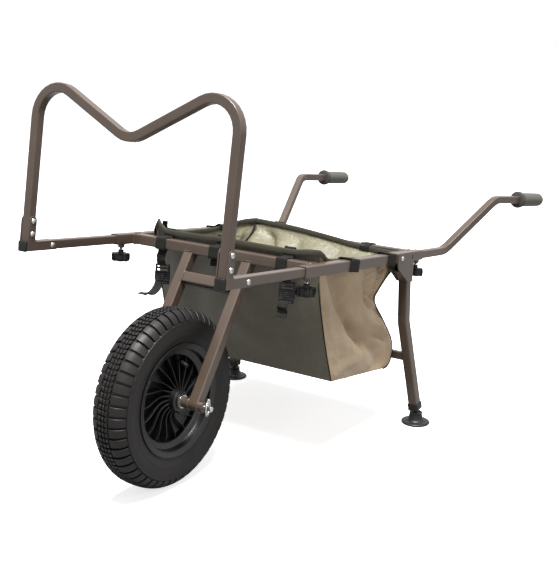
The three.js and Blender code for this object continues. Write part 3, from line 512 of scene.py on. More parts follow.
# Rim
RIBS = 18
RIB_SWIRL = 0.55
RIB_TURN = 0.283
RIB_THICK = 2.2
RIB_FOOT, RIB_TIP = 23, 98.5
RIB_STEPS = 10
RIB_FROM, RIB_DEEP = 1.5, 19.5  # from the wheel's middle plane outwards
RIB_RISE, RIB_FALL = 9, 5  # how much further out the ribs stand at the hub, and less at the flange


def make_rim():
    half = [
        (47, 15.3), (47, 17.2), (46.2, 18.2), (43.2, 18.6), (42.4, 21.6), (40.6, 23.6), (38, 24.2), (9, 24.6),
        (4, 27), (3, 31), (3, 92), (5, 96), (8, 97.4), (18, 98), (20.4, 101), (22.4, 108.5), (24, 111),
        (27, 112.2), (36.2, 113.4), (37.4, 114.6), (38, 118), (39.6, 122.6), (40.8, 124.6), (41, 126.4),
        (40.2, 127.4), (38.6, 127.4), (37, 126), (36.8, 117.7), (19, 117.7), (15, 101),
    ]
    barrel = turned(half + [(-x, radius) for x, radius in half[::-1]], 96, axis="X", closed=True)
    place(barrel, Matrix.Translation(WHEEL))
    dress(barrel, "rim_shell", "wheel", "rim_plastic", ("rim_barrel", "rim_centre"))

    points = []
    for i in range(RIB_STEPS + 1):
        share = i / RIB_STEPS
        radius = RIB_FOOT + share * (RIB_TIP - RIB_FOOT)
        angle = RIB_SWIRL * math.sin(share * math.pi / 2)
        points.append(Vector((0, -radius * math.sin(angle), radius * math.cos(angle))) * MM)
    rib = start_line(points)
    bpy.ops.mesh.extrude_region_move(TRANSFORM_OT_translate={"value": (RIB_DEEP * MM, 0, 0)})
    select_all()
    bpy.ops.transform.translate(value=(RIB_FROM * MM, 0, 0))
    object_mode()
    for vertex in rib.data.vertices:
        radius = math.hypot(vertex.co.y, vertex.co.z) / MM
        if vertex.co.x > 5 * MM:
            rise, fall = max(0, (45 - radius) / 22) ** 1.5, max(0, (radius - 80) / 20)
            vertex.co.x += (RIB_RISE * rise - RIB_FALL * fall) * MM
    thicken(rib, RIB_THICK)
    bevel(rib, 0.5, 2, 50)
    spider = twin(rib, Matrix.Rotation(math.pi, 4, "Z") @ Matrix.Rotation(2 * RIB_TURN, 4, "X"))
    for piece, name in ((rib, "rim_ribs_left"), (spider, "rim_ribs_right")):
        round_the_wheel(piece, RIBS)
        smooth(piece, 40)
        place(piece, Matrix.Translation(WHEEL) @ Matrix.Rotation(RIB_TURN, 4, "X"))
        dress(piece, name, "wheel", "rim_plastic", ("rim_centre",))


# Hard parts on the frame, drawn in the chassis's own axes in millimetres
RAIL_AT = 260.8
HALF_FRAME = 12.5
HALF_SLIDE = 10
SIDES = {"left": 1, "right": -1}
FRONT_RAIL, REAR_RAIL = -376, 85
AXLE_AT = Vector((0, -538, -308.4))
SIDEWAYS, BACKWARDS = Vector((1, 0, 0)), Vector((0, 1, 0))


def chassis_frame(x, y, z, turn=Matrix.Identity(4)):
    return CHASSIS @ Matrix.Translation(Vector((x, y, z)) * MM) @ turn


def aimed(direction, side=SIDEWAYS):
    """A turn whose Z axis is the direction and whose X axis is as near as can be to side."""
    along = Vector(direction).normalized()
    across = (side - along * side.dot(along)).normalized()
    return Matrix((across, along.cross(across), along)).transposed().to_4x4()


# Star knobs
KNOB_PLACES = {"front": -418, "rear": 111}
KNOB_TOP = -34.5
KNOB_HIGH = 18
KNOB_RADIUS = 21.5
KNOB_LOBES = 7
KNOB_SIDES = 84
LOBE_DEPTH, LOBE_POWER = 0.115, 1.15
STUD_RADIUS = 4
STUD_FROM = -26.5
THREAD_STEP, THREAD_DEPTH, THREAD_TURNS = 0.9, 0.45, 17


def star_head():
    """The lobed head, hollowed a little under and crowned on top."""
    deselect()
    low = (KNOB_TOP - KNOB_HIGH) * MM
    bpy.ops.mesh.primitive_circle_add(
        vertices=KNOB_SIDES, radius=KNOB_RADIUS * MM, fill_type="NGON", location=(0, 0, low),
    )
    head = bpy.context.active_object
    for vertex in head.data.vertices:
        angle = math.atan2(vertex.co.y, vertex.co.x)
        scale = 1 - LOBE_DEPTH * (1 - math.cos(KNOB_LOBES * angle)) ** LOBE_POWER
        vertex.co.x *= scale
        vertex.co.y *= scale
    edit_all()
    bpy.ops.mesh.extrude_region_move(TRANSFORM_OT_translate={"value": (0, 0, KNOB_HIGH * MM)})
    select_all()
    bpy.ops.mesh.normals_make_consistent(inside=False)
    bpy.ops.mesh.select_all(action="DESELECT")
    object_mode()
    for polygon in head.data.polygons:
        polygon.select = abs(polygon.normal.z) > 0.9
    bpy.ops.object.mode_set(mode="EDIT")
    bpy.ops.mesh.inset(thickness=5.5 * MM, depth=-1.2 * MM, use_individual=True)
    object_mode()
    settle(head)
    bevel(head, 2.6, 4, 40)
    smooth(head, 50)
    return head


def make_knobs():
    head = star_head()
    neck = turned([
        (KNOB_TOP - 2, 0), (KNOB_TOP - 2, 7.2), (KNOB_TOP + 1.2, 6.6), (KNOB_TOP + 5.6, 6.4),
        (KNOB_TOP + 6.6, 7.4), (STUD_FROM - 0.4, 7.6), (STUD_FROM, 7), (STUD_FROM, 0),
    ], 32)
    thread = [
        (STUD_FROM - 1 + i * THREAD_STEP, STUD_RADIUS - (i % 2) * THREAD_DEPTH) for i in range(THREAD_TURNS)
    ]
    stud = turned([(thread[0][0], 0)] + thread + [(thread[-1][0], 0)], 20, 25)
    collar = turned(
        [(-20.6, 4.3), (-20.6, 7.2), (-20, 7.8), (-14, 8.2), (-12.6, 8.8), (-12.4, 4.3)], 32, closed=True,
    )
    heads = ((head, "head", "black_plastic"), (neck, "neck", "black_plastic"), (stud, "stud", "zinc_steel"))
    for place_name, y in KNOB_PLACES.items():
        for side_name, side in SIDES.items():
            there = chassis_frame(side * RAIL_AT, y, 0)
            node = f"knob_{place_name}_{side_name}"
            for part, name, slot_name in heads:
                dress(twin(part, there), f"{node}_{name}", node, slot_name, (node,))
            dress(twin(collar, there), f"boss_{place_name}_{side_name}", "chassis", "bronze_paint")
    for piece in (head, neck, stud, collar):
        remove(piece)


# Grips
GRIP_LONG = 158
GRIP_END_CAP = 12
GRIP_END = (RAIL_AT + 76.5, 759, 136)
GRIP_RUN = (18.1, 298.7, -4)


def make_grips():
    collar = turned([
        (0, 0), (0, 18.5), (0.7, 21), (2.2, 23.2), (4.5, 24), (7.5, 23.8), (10, 22.2), (12, 20.6), (13, 19.6),
        (13, 0),
    ], 40, 40)
    grip = turned([
        (12.8, 0), (12.8, 19.4), (14.5, 19.7), (18, 19.4), (19, 18.9), (20, 19.4), (24, 19.5), (60, 19.8),
        (100, 19.8), (138, 19.5), (142, 19.4), (143, 18.9), (144, 19.4), (149, 19.2), (152.5, 18), (155, 15.6),
        (156.8, 11.5), (157.6, 7), (157.8, 2.6), (156.4, 2.2), (156.4, 0),
    ], 40, 40)
    for side_name, side in SIDES.items():
        run = Vector((side * GRIP_RUN[0], *GRIP_RUN[1:])).normalized()
        start = Vector((side * GRIP_END[0], *GRIP_END[1:])) + run * (GRIP_END_CAP - GRIP_LONG)
        node = f"grip_{side_name}"
        there = chassis_frame(*start, aimed(run))
        dress(twin(grip, there), node + "_rubber", f"handle_{side_name}", "grip_rubber", (node,))
        dress(twin(collar, there), node + "_collar", f"handle_{side_name}", "grip_rubber", (node,), collar_foam)
    remove(collar)
    remove(grip)


# Feet
def make_feet():
    foot = turned([
        (0.4, 0), (0, 6), (0, 33.6), (0.6, 35.6), (2, 36.8), (3.6, 37), (5, 36.3), (6.2, 34.4), (6.8, 31.5),
        (7, 28.6), (7.8, 24.6), (9.6, 21.2), (12.4, 19.3), (18, 17.6), (24, 16.4), (27.6, 16.2), (28.2, 17),
        (29.6, 17), (30.2, 16), (30.2, 12.4), (29.4, 11.2), (27, 10.9), (22, 10.9), (17, 8.2), (13.3, 3),
        (13.2, 0),
    ], 64)
    for side_name in SIDES:
        node = f"foot_{side_name}"
        low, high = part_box(node)
        there = Matrix.Translation(((low.x + high.x) / 2, (low.y + high.y) / 2, 0))
        dress(twin(foot, there), node + "_disc", node, "black_plastic", (node,))
    remove(foot)


# Dome-headed screws with a hexagon socket
SCREW_HEAD = 5.8
SCREW_HIGH = 3.2
SCREW_RIM = 0.5
SOCKET_RADIUS, SOCKET_FLOOR = 2, 1.7
BAR_AT = -714.9
BAR_LEAN = 0.054
PLATE_OUTSIDE = 13.3
BOLT_RISES, BOLT_BEHIND = (26.8, 54.5), 61  # two bolts up the post and one behind it in the arm


def dome_head():
    """A dome whose foot is at the origin and whose crown points along +Z, with a hexagon socket."""
    outline = [(-0.2, 0), (-0.2, SCREW_HEAD), (SCREW_RIM, SCREW_HEAD)]
    for i in range(1, 7):
        angle = i * math.pi / 14
        high = SCREW_RIM + (SCREW_HIGH - SCREW_RIM) * math.sin(angle)
        outline.append((high, SCREW_HEAD * math.cos(angle) ** 0.8))
    outline.append((SCREW_HIGH, 0))
    head = turned(outline, 28, angle=0)
    deep = 2 * SOCKET_FLOOR * MM
    bpy.ops.mesh.primitive_cylinder_add(
        vertices=6, radius=SOCKET_RADIUS * MM, depth=deep, location=(0, 0, deep),
    )
    socket = bpy.context.active_object
    modify(head, "BOOLEAN", object=socket, operation="DIFFERENCE", solver="EXACT")
    remove(socket)
    smooth(head, 35)
    return head


def make_screws():
    head = dome_head()
    places = [(BAR_AT + math.tan(BAR_LEAN) * rise, rise) for rise in BOLT_RISES] + [(BAR_AT + BOLT_BEHIND, 0)]
    for side_name, side in SIDES.items():
        for i, (y, z) in enumerate(places):
            ends = []
            for face in (1, -1):
                turn = aimed((face, 0, 0), BACKWARDS)
                ends.append(twin(head, chassis_frame(side * RAIL_AT + face * PLATE_OUTSIDE, y, z, turn)))
            node = f"bracket_bolt_{side_name}_{i + 1}"
            dress(join(ends), node + "_heads", "front_frame", "zinc_steel", (node,))
    remove(head)


# Square plugs in the front ends of the arms
PLUG_THICK, PLUG_OUT = 4, 2.3


def make_plugs():
    plug = box(2 * HALF_SLIDE, PLUG_THICK, 2 * HALF_SLIDE)
    for polygon in plug.data.polygons:
        polygon.select = polygon.normal.y < -0.9
    bpy.ops.object.mode_set(mode="EDIT")
    bpy.ops.mesh.select_mode(type="FACE")
    bpy.ops.mesh.inset(thickness=4.5 * MM, depth=1.5 * MM)
    object_mode()
    deselect()
    bevel(plug, 2.2, 4, 15)
    smooth(plug, 50)
    for side_name, side in SIDES.items():
        node = f"arm_plug_{side_name}"
        there = chassis_frame(side * RAIL_AT, BAR_AT - HALF_SLIDE - PLUG_OUT, 0)
        dress(twin(plug, there), node + "_cap", "front_frame", "black_plastic", (node,))
    remove(plug)


# Sprung ring of the lynch pin, open at its hinge
LYNCH_AT = (116, *AXLE_AT.yz)
LYNCH_TURN = 0.4
RING_RADIUS = 16.5
RING_HINGE = 6
RING_WIRE = 1.5
RING_STEPS = 48


def make_lynch_ring():
    gap_angle = math.asin(RING_HINGE / RING_RADIUS)
    points = []
    for i in range(RING_STEPS + 1):
        angle = gap_angle + i / RING_STEPS * 2 * (math.pi - gap_angle)
        points.append(Vector((0, math.sin(angle), math.cos(angle))) * RING_RADIUS * MM)
    points += [Vector((0, y, RING_RADIUS)) * MM for y in (-RING_HINGE, RING_HINGE)]
    ring = wire(points, RING_WIRE * MM, closed=True)
    smooth(ring, 60)
    place(ring, chassis_frame(*LYNCH_AT, Matrix.Rotation(LYNCH_TURN, 4, "Z")))
    dress(ring, "lynch_ring_wire", "lynch_ring", "zinc_steel", ("lynch_ring",))


# Weld beads: their radius, the ripples' height in mm and how many turns of noise go to a metre
BEAD, RIPPLE, RIPPLES = 1.5, 0.5, 380
BEAD_STEP = 2
WELD_SQUARE, WELD_CUT, SLEEVE_RADIUS = 26, 3, 13


def weld(name, points, radius=BEAD):
    """A rippled bead along a closed line through points in the chassis's axes, in millimetres."""
    fine = []
    for before, after in zip(points, points[1:] + points[:1]):
        steps = max(1, round((after - before).length / BEAD_STEP))
        fine += [before.lerp(after, i / steps) * MM for i in range(steps)]
    bead = wire(fine, radius * MM, closed=True, sides=1)
    for vertex in bead.data.vertices:
        vertex.co += noise.noise_vector(vertex.co * RIPPLES) * RIPPLE * MM
    smooth(bead, 60)
    place(bead, CHASSIS)
    dress(bead, name, "chassis", "bronze_paint")


def square_ring(centre, along, side):
    """Corners of the square round a tube, each cut twice, as points in millimetres."""
    across, other = (axis.to_3d() for axis in aimed(along, side).col[:2])
    half = WELD_SQUARE / 2
    cut = half - WELD_CUT
    corners = (
        (-half, -cut), (-cut, -half), (cut, -half), (half, -cut),
        (half, cut), (cut, half), (-cut, half), (-half, cut),
    )
    return [centre + across * a + other * b for a, b in corners]


def round_ring(centre, along, radius, count=20):
    turn = aimed(along, BACKWARDS).to_3x3()
    angles = (2 * math.pi * i / count for i in range(count))
    return [centre + turn @ Vector((radius * math.cos(a), radius * math.sin(a), 0)) for a in angles]


FORK_TOP = Vector((0, -378, -12.5))
FORK_HALF = 82
BAR_UP = 276  # the crossbar, along the fork from the axle


def make_welds():
    up = (FORK_TOP - AXLE_AT).normalized()
    for side_name, side in SIDES.items():
        foot = Vector((side * FORK_HALF, 0, 0))
        weld(f"weld_fork_top_{side_name}", square_ring(FORK_TOP + foot, up, SIDEWAYS))
        bar_end = AXLE_AT + up * BAR_UP + Vector((side * (FORK_HALF - HALF_FRAME), 0, 0))
        weld(f"weld_fork_bar_{side_name}", square_ring(bar_end, SIDEWAYS, up))
        for face in (1, -1):
            ring = round_ring(AXLE_AT + foot + SIDEWAYS * (face * HALF_FRAME), SIDEWAYS, SLEEVE_RADIUS)
            weld(f"weld_sleeve_{side_name}_{'outer' if face == side else 'inner'}", ring, 1.3)
        for rail_name, y in (("front", FRONT_RAIL), ("rear", REAR_RAIL)):
            end = Vector((side * (RAIL_AT - HALF_FRAME), y, 0))
            weld(f"weld_{rail_name}_rail_{side_name}", square_ring(end, SIDEWAYS, BACKWARDS))


# Tackle bag: a lofted shell of cloth panels, in the chassis's own axes and in millimetres
BAG_HALF = 241
BAG_FRONT_TOP = (-360, 0.7)
BAG_FRONT_FOOT = (-224, -280)
# Outward directions of the front and rear panels, as (back, up)
FRONT_OUTWARD, REAR_OUTWARD = (-0.9, -0.43), (0.9, 0.2)
BAG_REAR = ((66, 0.7), (66, -14), (44, -34), (-2, -64), (-36, -90), (-45, -102), (-36, -120), (14, -164),
            (58, -206), (76, -232), (80, -250), (79, -266), (73, -280), (58, -290), (40, -292))
# The mouth's edge, from the far front corner round by the near side, as (x, y, z)
RIM_FRONT = ((-203, -354, 52), (-187, -358, 37), (-164, -359, 30), (-80, -360, 31), (0, -361, 33),
             (90, -360, 32), (181, -359, 31), (224, -356, 36), (240, -340, 35))
RIM_NEAR = ((240, -340, 35), (242, -326, 28), (242, -300, 14), (241, -237, 11), (241, -140, 8), (241, -52, 11),
            (241, 20, 7), (240, 62, 5))
RIM_REAR = ((240, 62, 5), (180, 66, 6), (112, 67, 11), (10, 66, 22.6), (-78, 66, 31), (-150, 66, 35),
            (-206, 62, 38))
RIM_FAR = ((-206, 62, 38), (-222, 30, 34), (-232, -30, 24), (-236, -100, 14), (-236, -237, 11),
           (-234, -300, 13), (-226, -336, 26), (-203, -354, 52))
CLOTH, COATING, LINING_GAP = 1.4, 0.6, 0.4
TAPE_THICK, SEAM_THICK = 0.8, 1.6
PIPING = (1.4, 2.2)  # radius at the front and at the rear corners


def woven_cloth(name, low, high, thread, crease, depth, roughness, **sockets):
    """Woven cloth: crossed threads of a real pitch in mm, drawn by the UV map, over soft small creases."""
    material, tree, shader = start_material(name, **sockets)
    coordinates = add_node(tree, "ShaderNodeTexCoord")
    flat, around = coordinates.outputs["UV"], coordinates.outputs["Object"]
    # A wave texture repeats every pi / 10 of a unit at scale 1, and the UV map is in metres
    waves = {"Vector": flat, "Scale": math.pi / 10 / (thread * MM), "Distortion": 0.4}
    warp, weft = (add_node(tree, "ShaderNodeTexWave", waves, bands_direction=way) for way in "XY")
    crossed = {0: warp.outputs["Fac"], 1: weft.outputs["Fac"]}
    threads = add_node(tree, "ShaderNodeMath", crossed, operation="MULTIPLY").outputs[0]
    shade = add_node(tree, "ShaderNodeMapRange", {"Value": threads, 3: 0.86, 4: 1.06}).outputs[0]
    tints = {0: 1.0, 6: mottled(tree, around, low, high, 45 * MM, detail=5), 7: shade}
    tint = add_node(tree, "ShaderNodeMix", tints, data_type="RGBA", blend_type="MULTIPLY")
    tree.links.new(tint.outputs[2], shader.inputs["Base Color"])
    tree.links.new(rough_range(tree, around, *roughness, 30 * MM), shader.inputs["Roughness"])
    cloud = {"Vector": around, "Scale": 1 / (crease * MM), "Detail": 3, "Distortion": 0.6}
    creases = add_node(tree, "ShaderNodeTexNoise", cloud).outputs["Fac"]
    folds = add_node(tree, "ShaderNodeBump", {"Height": creases, "Distance": depth * MM, "Strength": 0.6})
    relief = {"Height": threads, "Distance": thread / 6 * MM, "Strength": 0.5, "Normal": folds.outputs[0]}
    weave = add_node(tree, "ShaderNodeBump", relief)
    tree.links.new(weave.outputs[0], shader.inputs["Normal"])
    return material


# Khaki polyester: a light brown coated weave whose folds catch the light
khaki_polyester = woven_cloth(
    "khaki_polyester", "#9E8668", "#B19A7A", 1.1, 16, 2.3, (0.46, 0.58), Sheen_Weight=0.2,
)
# Olive polyester: the same weave in a dull grey green
olive_polyester = woven_cloth(
    "olive_polyester", "#595547", "#6A6555", 1.1, 22, 2.4, (0.48, 0.6), Sheen_Weight=0.15,
)
# Coated back of the cloth: pale olive, darkened overall as painted shade for the bag's inside, crumpled and a
# little glossy
bag_lining = woven_cloth("coated_lining", "#5E5A47", "#777159", 1.1, 16, 4.5, (0.4, 0.52))
# Polyester webbing: near black, with ribs across
webbing_tape = woven_cloth(
    "ribbed_webbing", "#131311", "#1D1C18", 1.6, 25, 0.6, (0.75, 0.86), Specular_IOR_Level=0.2,
)
# Binding tape round the mouth: dark olive, thin and matt
binding_tape = woven_cloth(
    "olive_binding_tape", "#2A2820", "#363428", 1.2, 25, 0.8, (0.7, 0.82), Specular_IOR_Level=0.3,
)


def smooth_line(points, share):
    """The point at a share of the way along a Catmull-Rom line through the points."""
    count = len(points) - 1
    place_on = min(max(share, 0), 1) * count
    i = min(int(place_on), count - 1)
    f = place_on - i
    p0, p1, p2, p3 = (points[min(max(k, 0), count)] for k in (i - 1, i, i + 1, i + 2))
    return tuple(
        0.5 * (2 * b + (c - a) * f + (2 * a - 5 * b + 4 * c - d) * f * f + (3 * b - a - 3 * c + d) * f**3)
        for a, b, c, d in zip(p0, p1, p2, p3)
    )


def step_lengths(points):
    return [math.dist(a, b) for a, b in zip(points, points[1:])]


def by_length(points, share):
    """smooth_line, with the share measured along the straight line through the points."""
    steps = step_lengths(points)
    target = min(max(share, 0), 1) * sum(steps)
    for i, step in enumerate(steps):
        if target <= step or i == len(steps) - 1:
            return smooth_line(points, (i + target / step) / len(steps))
        target -= step


def between(a, b, share):
    """The point at a share of the way from a to b."""
    return tuple(start + share * (end - start) for start, end in zip(a, b))


def wander(x, y, z):
    """Smooth noise between -1 and 1."""
    return noise.noise(Vector((x, y, z)))


def front_line(depth):
    return between(BAG_FRONT_TOP, BAG_FRONT_FOOT, depth)


def rear_line(depth):
    return by_length(BAG_REAR, depth)


def toward_rim(point, rim_point, top, depth):
    """Pulls the upper part of a panel to the mouth's edge."""
    pull = (1 - depth) ** 3
    return [value + (edge - start) * pull for value, edge, start in zip(point, rim_point, top)]


def ridge(a, b, start, end, wide, high):
    """Height of a soft fold that runs from start to end, at the point (a, b)."""
    run = (end[0] - start[0], end[1] - start[1])
    share = ((a - start[0]) * run[0] + (b - start[1]) * run[1]) / (run[0] ** 2 + run[1] ** 2)
    away = math.dist((a, b), between(start, end, min(max(share, 0), 1)))
    share = min(max(share, 0), 1)
    return high * math.exp(-((away / wide) ** 2)) * (0.45 + 0.55 * math.sin(math.pi * (0.15 + 0.7 * share)))


def below_tape(depth):
    """0 behind the mouth's tape, where the cloth is held flat, and 1 a little lower."""
    return min(1, max(0, depth - 0.04) / 0.06)


# The legs fold past the sides, so the cloth hangs mostly inside the rails' inner faces
DRAWN_IN = 7


def drawn_in(depth):
    return DRAWN_IN * below_tape(depth)


def free_cloth(share, depth, first, last, foot):
    """0 at the seams and behind the tape, and 1 from the given shares inwards."""
    return min(1, share / first, (1 - share) / last, (1 - depth) / foot) * below_tape(depth)


def fold_heights(folds, share, depth):
    return sum(ridge(share, depth, *fold) for fold in folds)


# Folds of the side panels: from and to as (share from front to rear, share of the depth), width share, height
SIDE_FOLDS = (
    ((0.48, 0.12), (0.82, 0.58), 0.06, 11),
    ((0.09, 0.10), (0.12, 0.60), 0.05, 4),
    ((0.20, 0.04), (0.50, 0.68), 0.085, -18),
    ((0.46, 0.60), (0.76, 0.88), 0.08, -11),
    ((0.62, 0.20), (0.95, 0.50), 0.04, -12),
    ((0.26, 0.62), (0.46, 0.92), 0.09, 4),
    ((0.97, 0.36), (0.80, 0.30), 0.03, -7),
    ((0.97, 0.42), (0.76, 0.45), 0.03, 6),
    ((0.88, 0.46), (0.99, 0.84), 0.05, 12),
    ((0.50, 0.60), (0.95, 0.72), 0.06, -8),
    ((0.04, 0.94), (0.55, 0.80), 0.05, 4),
    ((0.62, 0.02), (0.80, 0.24), 0.035, 5),
    ((0.74, 0.01), (0.87, 0.26), 0.022, -4),
    ((0.82, 0.01), (0.93, 0.28), 0.022, 4),
    ((0.90, 0.02), (0.97, 0.28), 0.018, -3),
)
# Fine gathers run down from the rear corner: phases a unit of the share and of the depth, and height in mm
GATHER_PHASES = (52, 92)
GATHER_HIGH = {1: 4.2, -1: 1.2}
GATHERS_AT, GATHERS_WIDE = 0.17, 0.12  # shares of the depth
# Folds stand out from the rails' inner faces by no more than this
BULGE_MOST = 2.4
# The tables of folds are read with these gains
SIDE_GAIN, END_GAIN = 1.3, 1.5


def side_bulge(share, depth, side):
    """How far a side panel's cloth stands out at a point, in mm."""
    shift = 0.37 if side < 0 else 0  # so that the two sides differ
    uneven = wander(share * 9, depth * 9, 6.2 + shift)
    gathers = math.sin(GATHER_PHASES[0] * share + GATHER_PHASES[1] * depth + 5 * uneven) * max(0, share - 0.35)
    gathers *= GATHER_HIGH[side] * (0.7 + uneven) * math.exp(-((depth - GATHERS_AT) / GATHERS_WIDE) ** 2)
    crumple = wander(share * 5 + shift, depth * 6, 2.7) * 3 + wander(share * 14, depth * 17, shift) * 1.4
    belly = 5 * math.sin(math.pi * share) * math.sin(math.pi * min(depth, 1)) ** 0.8
    high = SIDE_GAIN * (fold_heights(SIDE_FOLDS, share, depth) + gathers + crumple) + belly
    return high * free_cloth(share, depth, 0.06, 0.08, 0.05)


def side_point(side):
    """The points of one side panel; share runs from front to rear."""
    def point(share, depth):
        bulge = side_bulge(share, depth, side)
        most = BULGE_MOST + drawn_in(depth)
        if bulge > 0:
            bulge = most * math.tanh(bulge / most)
        x = side * (BAG_HALF - drawn_in(depth) + bulge)
        base = (x, *between(front_line(depth), rear_line(depth), share))
        top = (side * BAG_HALF, *between(BAG_FRONT_TOP, BAG_REAR[0], share))
        rim = by_length(RIM_NEAR, share) if side > 0 else by_length(RIM_FAR, 1 - share)
        return toward_rim(base, rim, top, depth)
    return point


FRONT_FOLDS = (
    ((0.90, 0.12), (0.86, 0.40), 0.04, 5),
    ((0.82, 0.14), (0.70, 0.46), 0.05, -4),
    ((0.55, 0.10), (0.60, 0.50), 0.06, 4),
    ((0.30, 0.10), (0.22, 0.70), 0.07, -4),
    ((0.16, 0.12), (0.10, 0.80), 0.06, 4),
    ((0.40, 0.55), (0.80, 0.85), 0.10, 3),
    ((0.84, 0.22), (0.94, 0.24), 0.02, 3),
    ((0.83, 0.30), (0.92, 0.34), 0.02, 3),
)


def front_point(share, depth):
    """share runs from the far side to the near side."""
    y, z = front_line(depth)
    x = (2 * share - 1) * (BAG_HALF - drawn_in(depth))
    belly = 6 * math.sin(math.pi * share) * math.sin(math.pi * depth)
    high = END_GAIN * fold_heights(FRONT_FOLDS, share, depth) + belly
    high += wander(share * 6, depth * 4, 8.1) * 3 + wander(share * 15, depth * 12, 5.1)
    high *= free_cloth(share, depth, 0.05, 0.05, 0.06)
    base = (x, y + FRONT_OUTWARD[0] * high, z + FRONT_OUTWARD[1] * high)
    return toward_rim(base, by_length(RIM_FRONT, share), (x, *BAG_FRONT_TOP), depth)


REAR_FOLDS = (
    ((0.05, 0.10), (0.17, 0.28), 0.035, -17),
    ((0.12, 0.08), (0.28, 0.24), 0.035, 18),
    ((0.24, 0.10), (0.36, 0.26), 0.03, -17),
    ((0.34, 0.07), (0.42, 0.26), 0.03, 9),
    ((0.46, 0.10), (0.54, 0.32), 0.05, -7),
    ((0.60, 0.06), (0.66, 0.34), 0.05, 7),
    ((0.80, 0.10), (0.74, 0.36), 0.05, -7),
    ((0.30, 0.50), (0.44, 0.85), 0.08, 6),
    ((0.66, 0.50), (0.60, 0.85), 0.08, 6),
)


def rear_point(share, depth):
    """share runs from the far side to the near side."""
    y, z = rear_line(depth)
    x = (2 * share - 1) * (BAG_HALF - drawn_in(depth))
    high = END_GAIN * fold_heights(REAR_FOLDS, share, depth)
    high += wander(share * 7, depth * 8, 3.3) * 5 + wander(share * 17, depth * 17, 1.3) * 2
    high *= free_cloth(share, depth, 0.06, 0.06, 0.06)
    base = (x, y + REAR_OUTWARD[0] * high - 2 * below_tape(depth), z + REAR_OUTWARD[1] * high)
    return toward_rim(base, by_length(RIM_REAR, 1 - share), (x, *BAG_REAR[0]), depth)


def floor_point(share, along):
    """share runs from the far side to the near side, along from front to rear."""
    low = 7 * math.sin(math.pi * share) ** 0.6 * math.sin(math.pi * along) ** 0.6
    low += wander(share * 6, along * 6, 4.4) * 2 * min(1, 8 * along, 8 * (1 - along))
    y, z = between(front_line(1), rear_line(1), along)
    return ((2 * share - 1) * (BAG_HALF - drawn_in(1) - 1), y, z - low)


def cloth_panel(point_at, columns, rows):
    """A grid of cloth whose points come from point_at(share, depth), with its own UV map."""
    deselect()
    bpy.ops.mesh.primitive_grid_add(x_subdivisions=columns, y_subdivisions=rows, size=2)
    panel = bpy.context.active_object
    for vertex in panel.data.vertices:
        vertex.co = Vector(point_at((vertex.co.x + 1) / 2, (1 - vertex.co.y) / 2)) * MM
    wide = math.dist(point_at(0, 0.5), point_at(1, 0.5)) * MM
    high = math.dist(point_at(0.5, 0), point_at(0.5, 1)) * MM
    for corner in panel.data.uv_layers.active.data:
        corner.uv = (corner.uv[0] * wide, corner.uv[1] * high)
    return panel


def cut_size(point_at):
    """Width and length of the cloth a panel is cut from, in metres: its longest lines each way."""
    steps = [i / 24 for i in range(25)]
    across = [[point_at(share, depth) for share in steps] for depth in (0, 0.25, 0.5, 0.75, 1)]
    down = [[point_at(share, depth) for depth in steps] for share in (0, 0.25, 0.5, 0.75, 1)]
    return tuple(max(sum(step_lengths(line)) for line in lines) * MM for lines in (across, down))


def face_away(panel):
    """Turns a sheet's faces away from the bag's middle."""
    middle = panel.data.polygons[len(panel.data.polygons) // 2]
    if middle.normal.dot(middle.center - BAG_MIDDLE * MM) < 0:
        only(panel)
        edit_all()
        bpy.ops.mesh.flip_normals()
        object_mode()


BAG_MIDDLE = Vector((0, -160, -160))


def hang_on_rails(piece):
    """Gives a soft piece a mesh of its own."""
    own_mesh(piece)


PANELS = {
    "side_left": (side_point(1), 80, 80, "khaki_cloth"),
    "side_right": (side_point(-1), 80, 80, "khaki_cloth"),
    "front": (front_point, 56, 36, "olive_cloth"),
    "rear": (rear_point, 56, 48, "olive_cloth"),
    "floor": (floor_point, 40, 28, "khaki_cloth"),
}
MOUTH = (RIM_FRONT, RIM_NEAR, RIM_REAR, RIM_FAR)
MOUTH_LONG = [sum(step_lengths(line)) for line in MOUTH]


def mouth_point(share):
    """A point of the mouth's edge, going all the way round it."""
    target = (share % 1) * sum(MOUTH_LONG)
    for line, long in zip(MOUTH, MOUTH_LONG):
        if target <= long:
            return by_length(line, target / long)
        target -= long
    return MOUTH[0][0]


TAPE_HIGH = 10
TAPE_STEP = 0.004
# Half of the tape's section: how far out from the cloth, and how far down from the edge
TAPE_SECTION = ((3.0, TAPE_HIGH), (3.2, 6), (2.4, 1.0), (1.0, -1.0))


def binding_point(share, across):
    """A point of the tape that is folded over the mouth's edge, across it from outside to inside."""
    before, here, after = (Vector(mouth_point(share + step)) for step in (-TAPE_STEP, 0, TAPE_STEP))
    outward = (after - before).cross(UP).normalized()
    section = [*TAPE_SECTION, *((-out, down) for out, down in reversed(TAPE_SECTION))]
    out, down = smooth_line(section, across)
    wave = wander(*(here * 0.03))
    return here + outward * (out + wave * min(1, down / TAPE_HIGH)) - UP * down


SEAM_FROM, SEAM_WIDE = 5, 9


def seam_point(side, at_rear):
    """Inside seam allowance down a corner of the bag: from the corner, slanting in by a few mm."""
    def point(across, depth):
        x, y, z = side_point(side)(at_rear, 0.01 + 0.97 * depth)
        into = SEAM_FROM + SEAM_WIDE * across
        return (x - side * into, y + (-1 if at_rear else 1) * (into + 3), z)
    return point


# Webbing
WEBBING = 1.8
LOOP_OUT = 14.2
LOOP_CORNER = 11.5
LAP_DOWN = 13


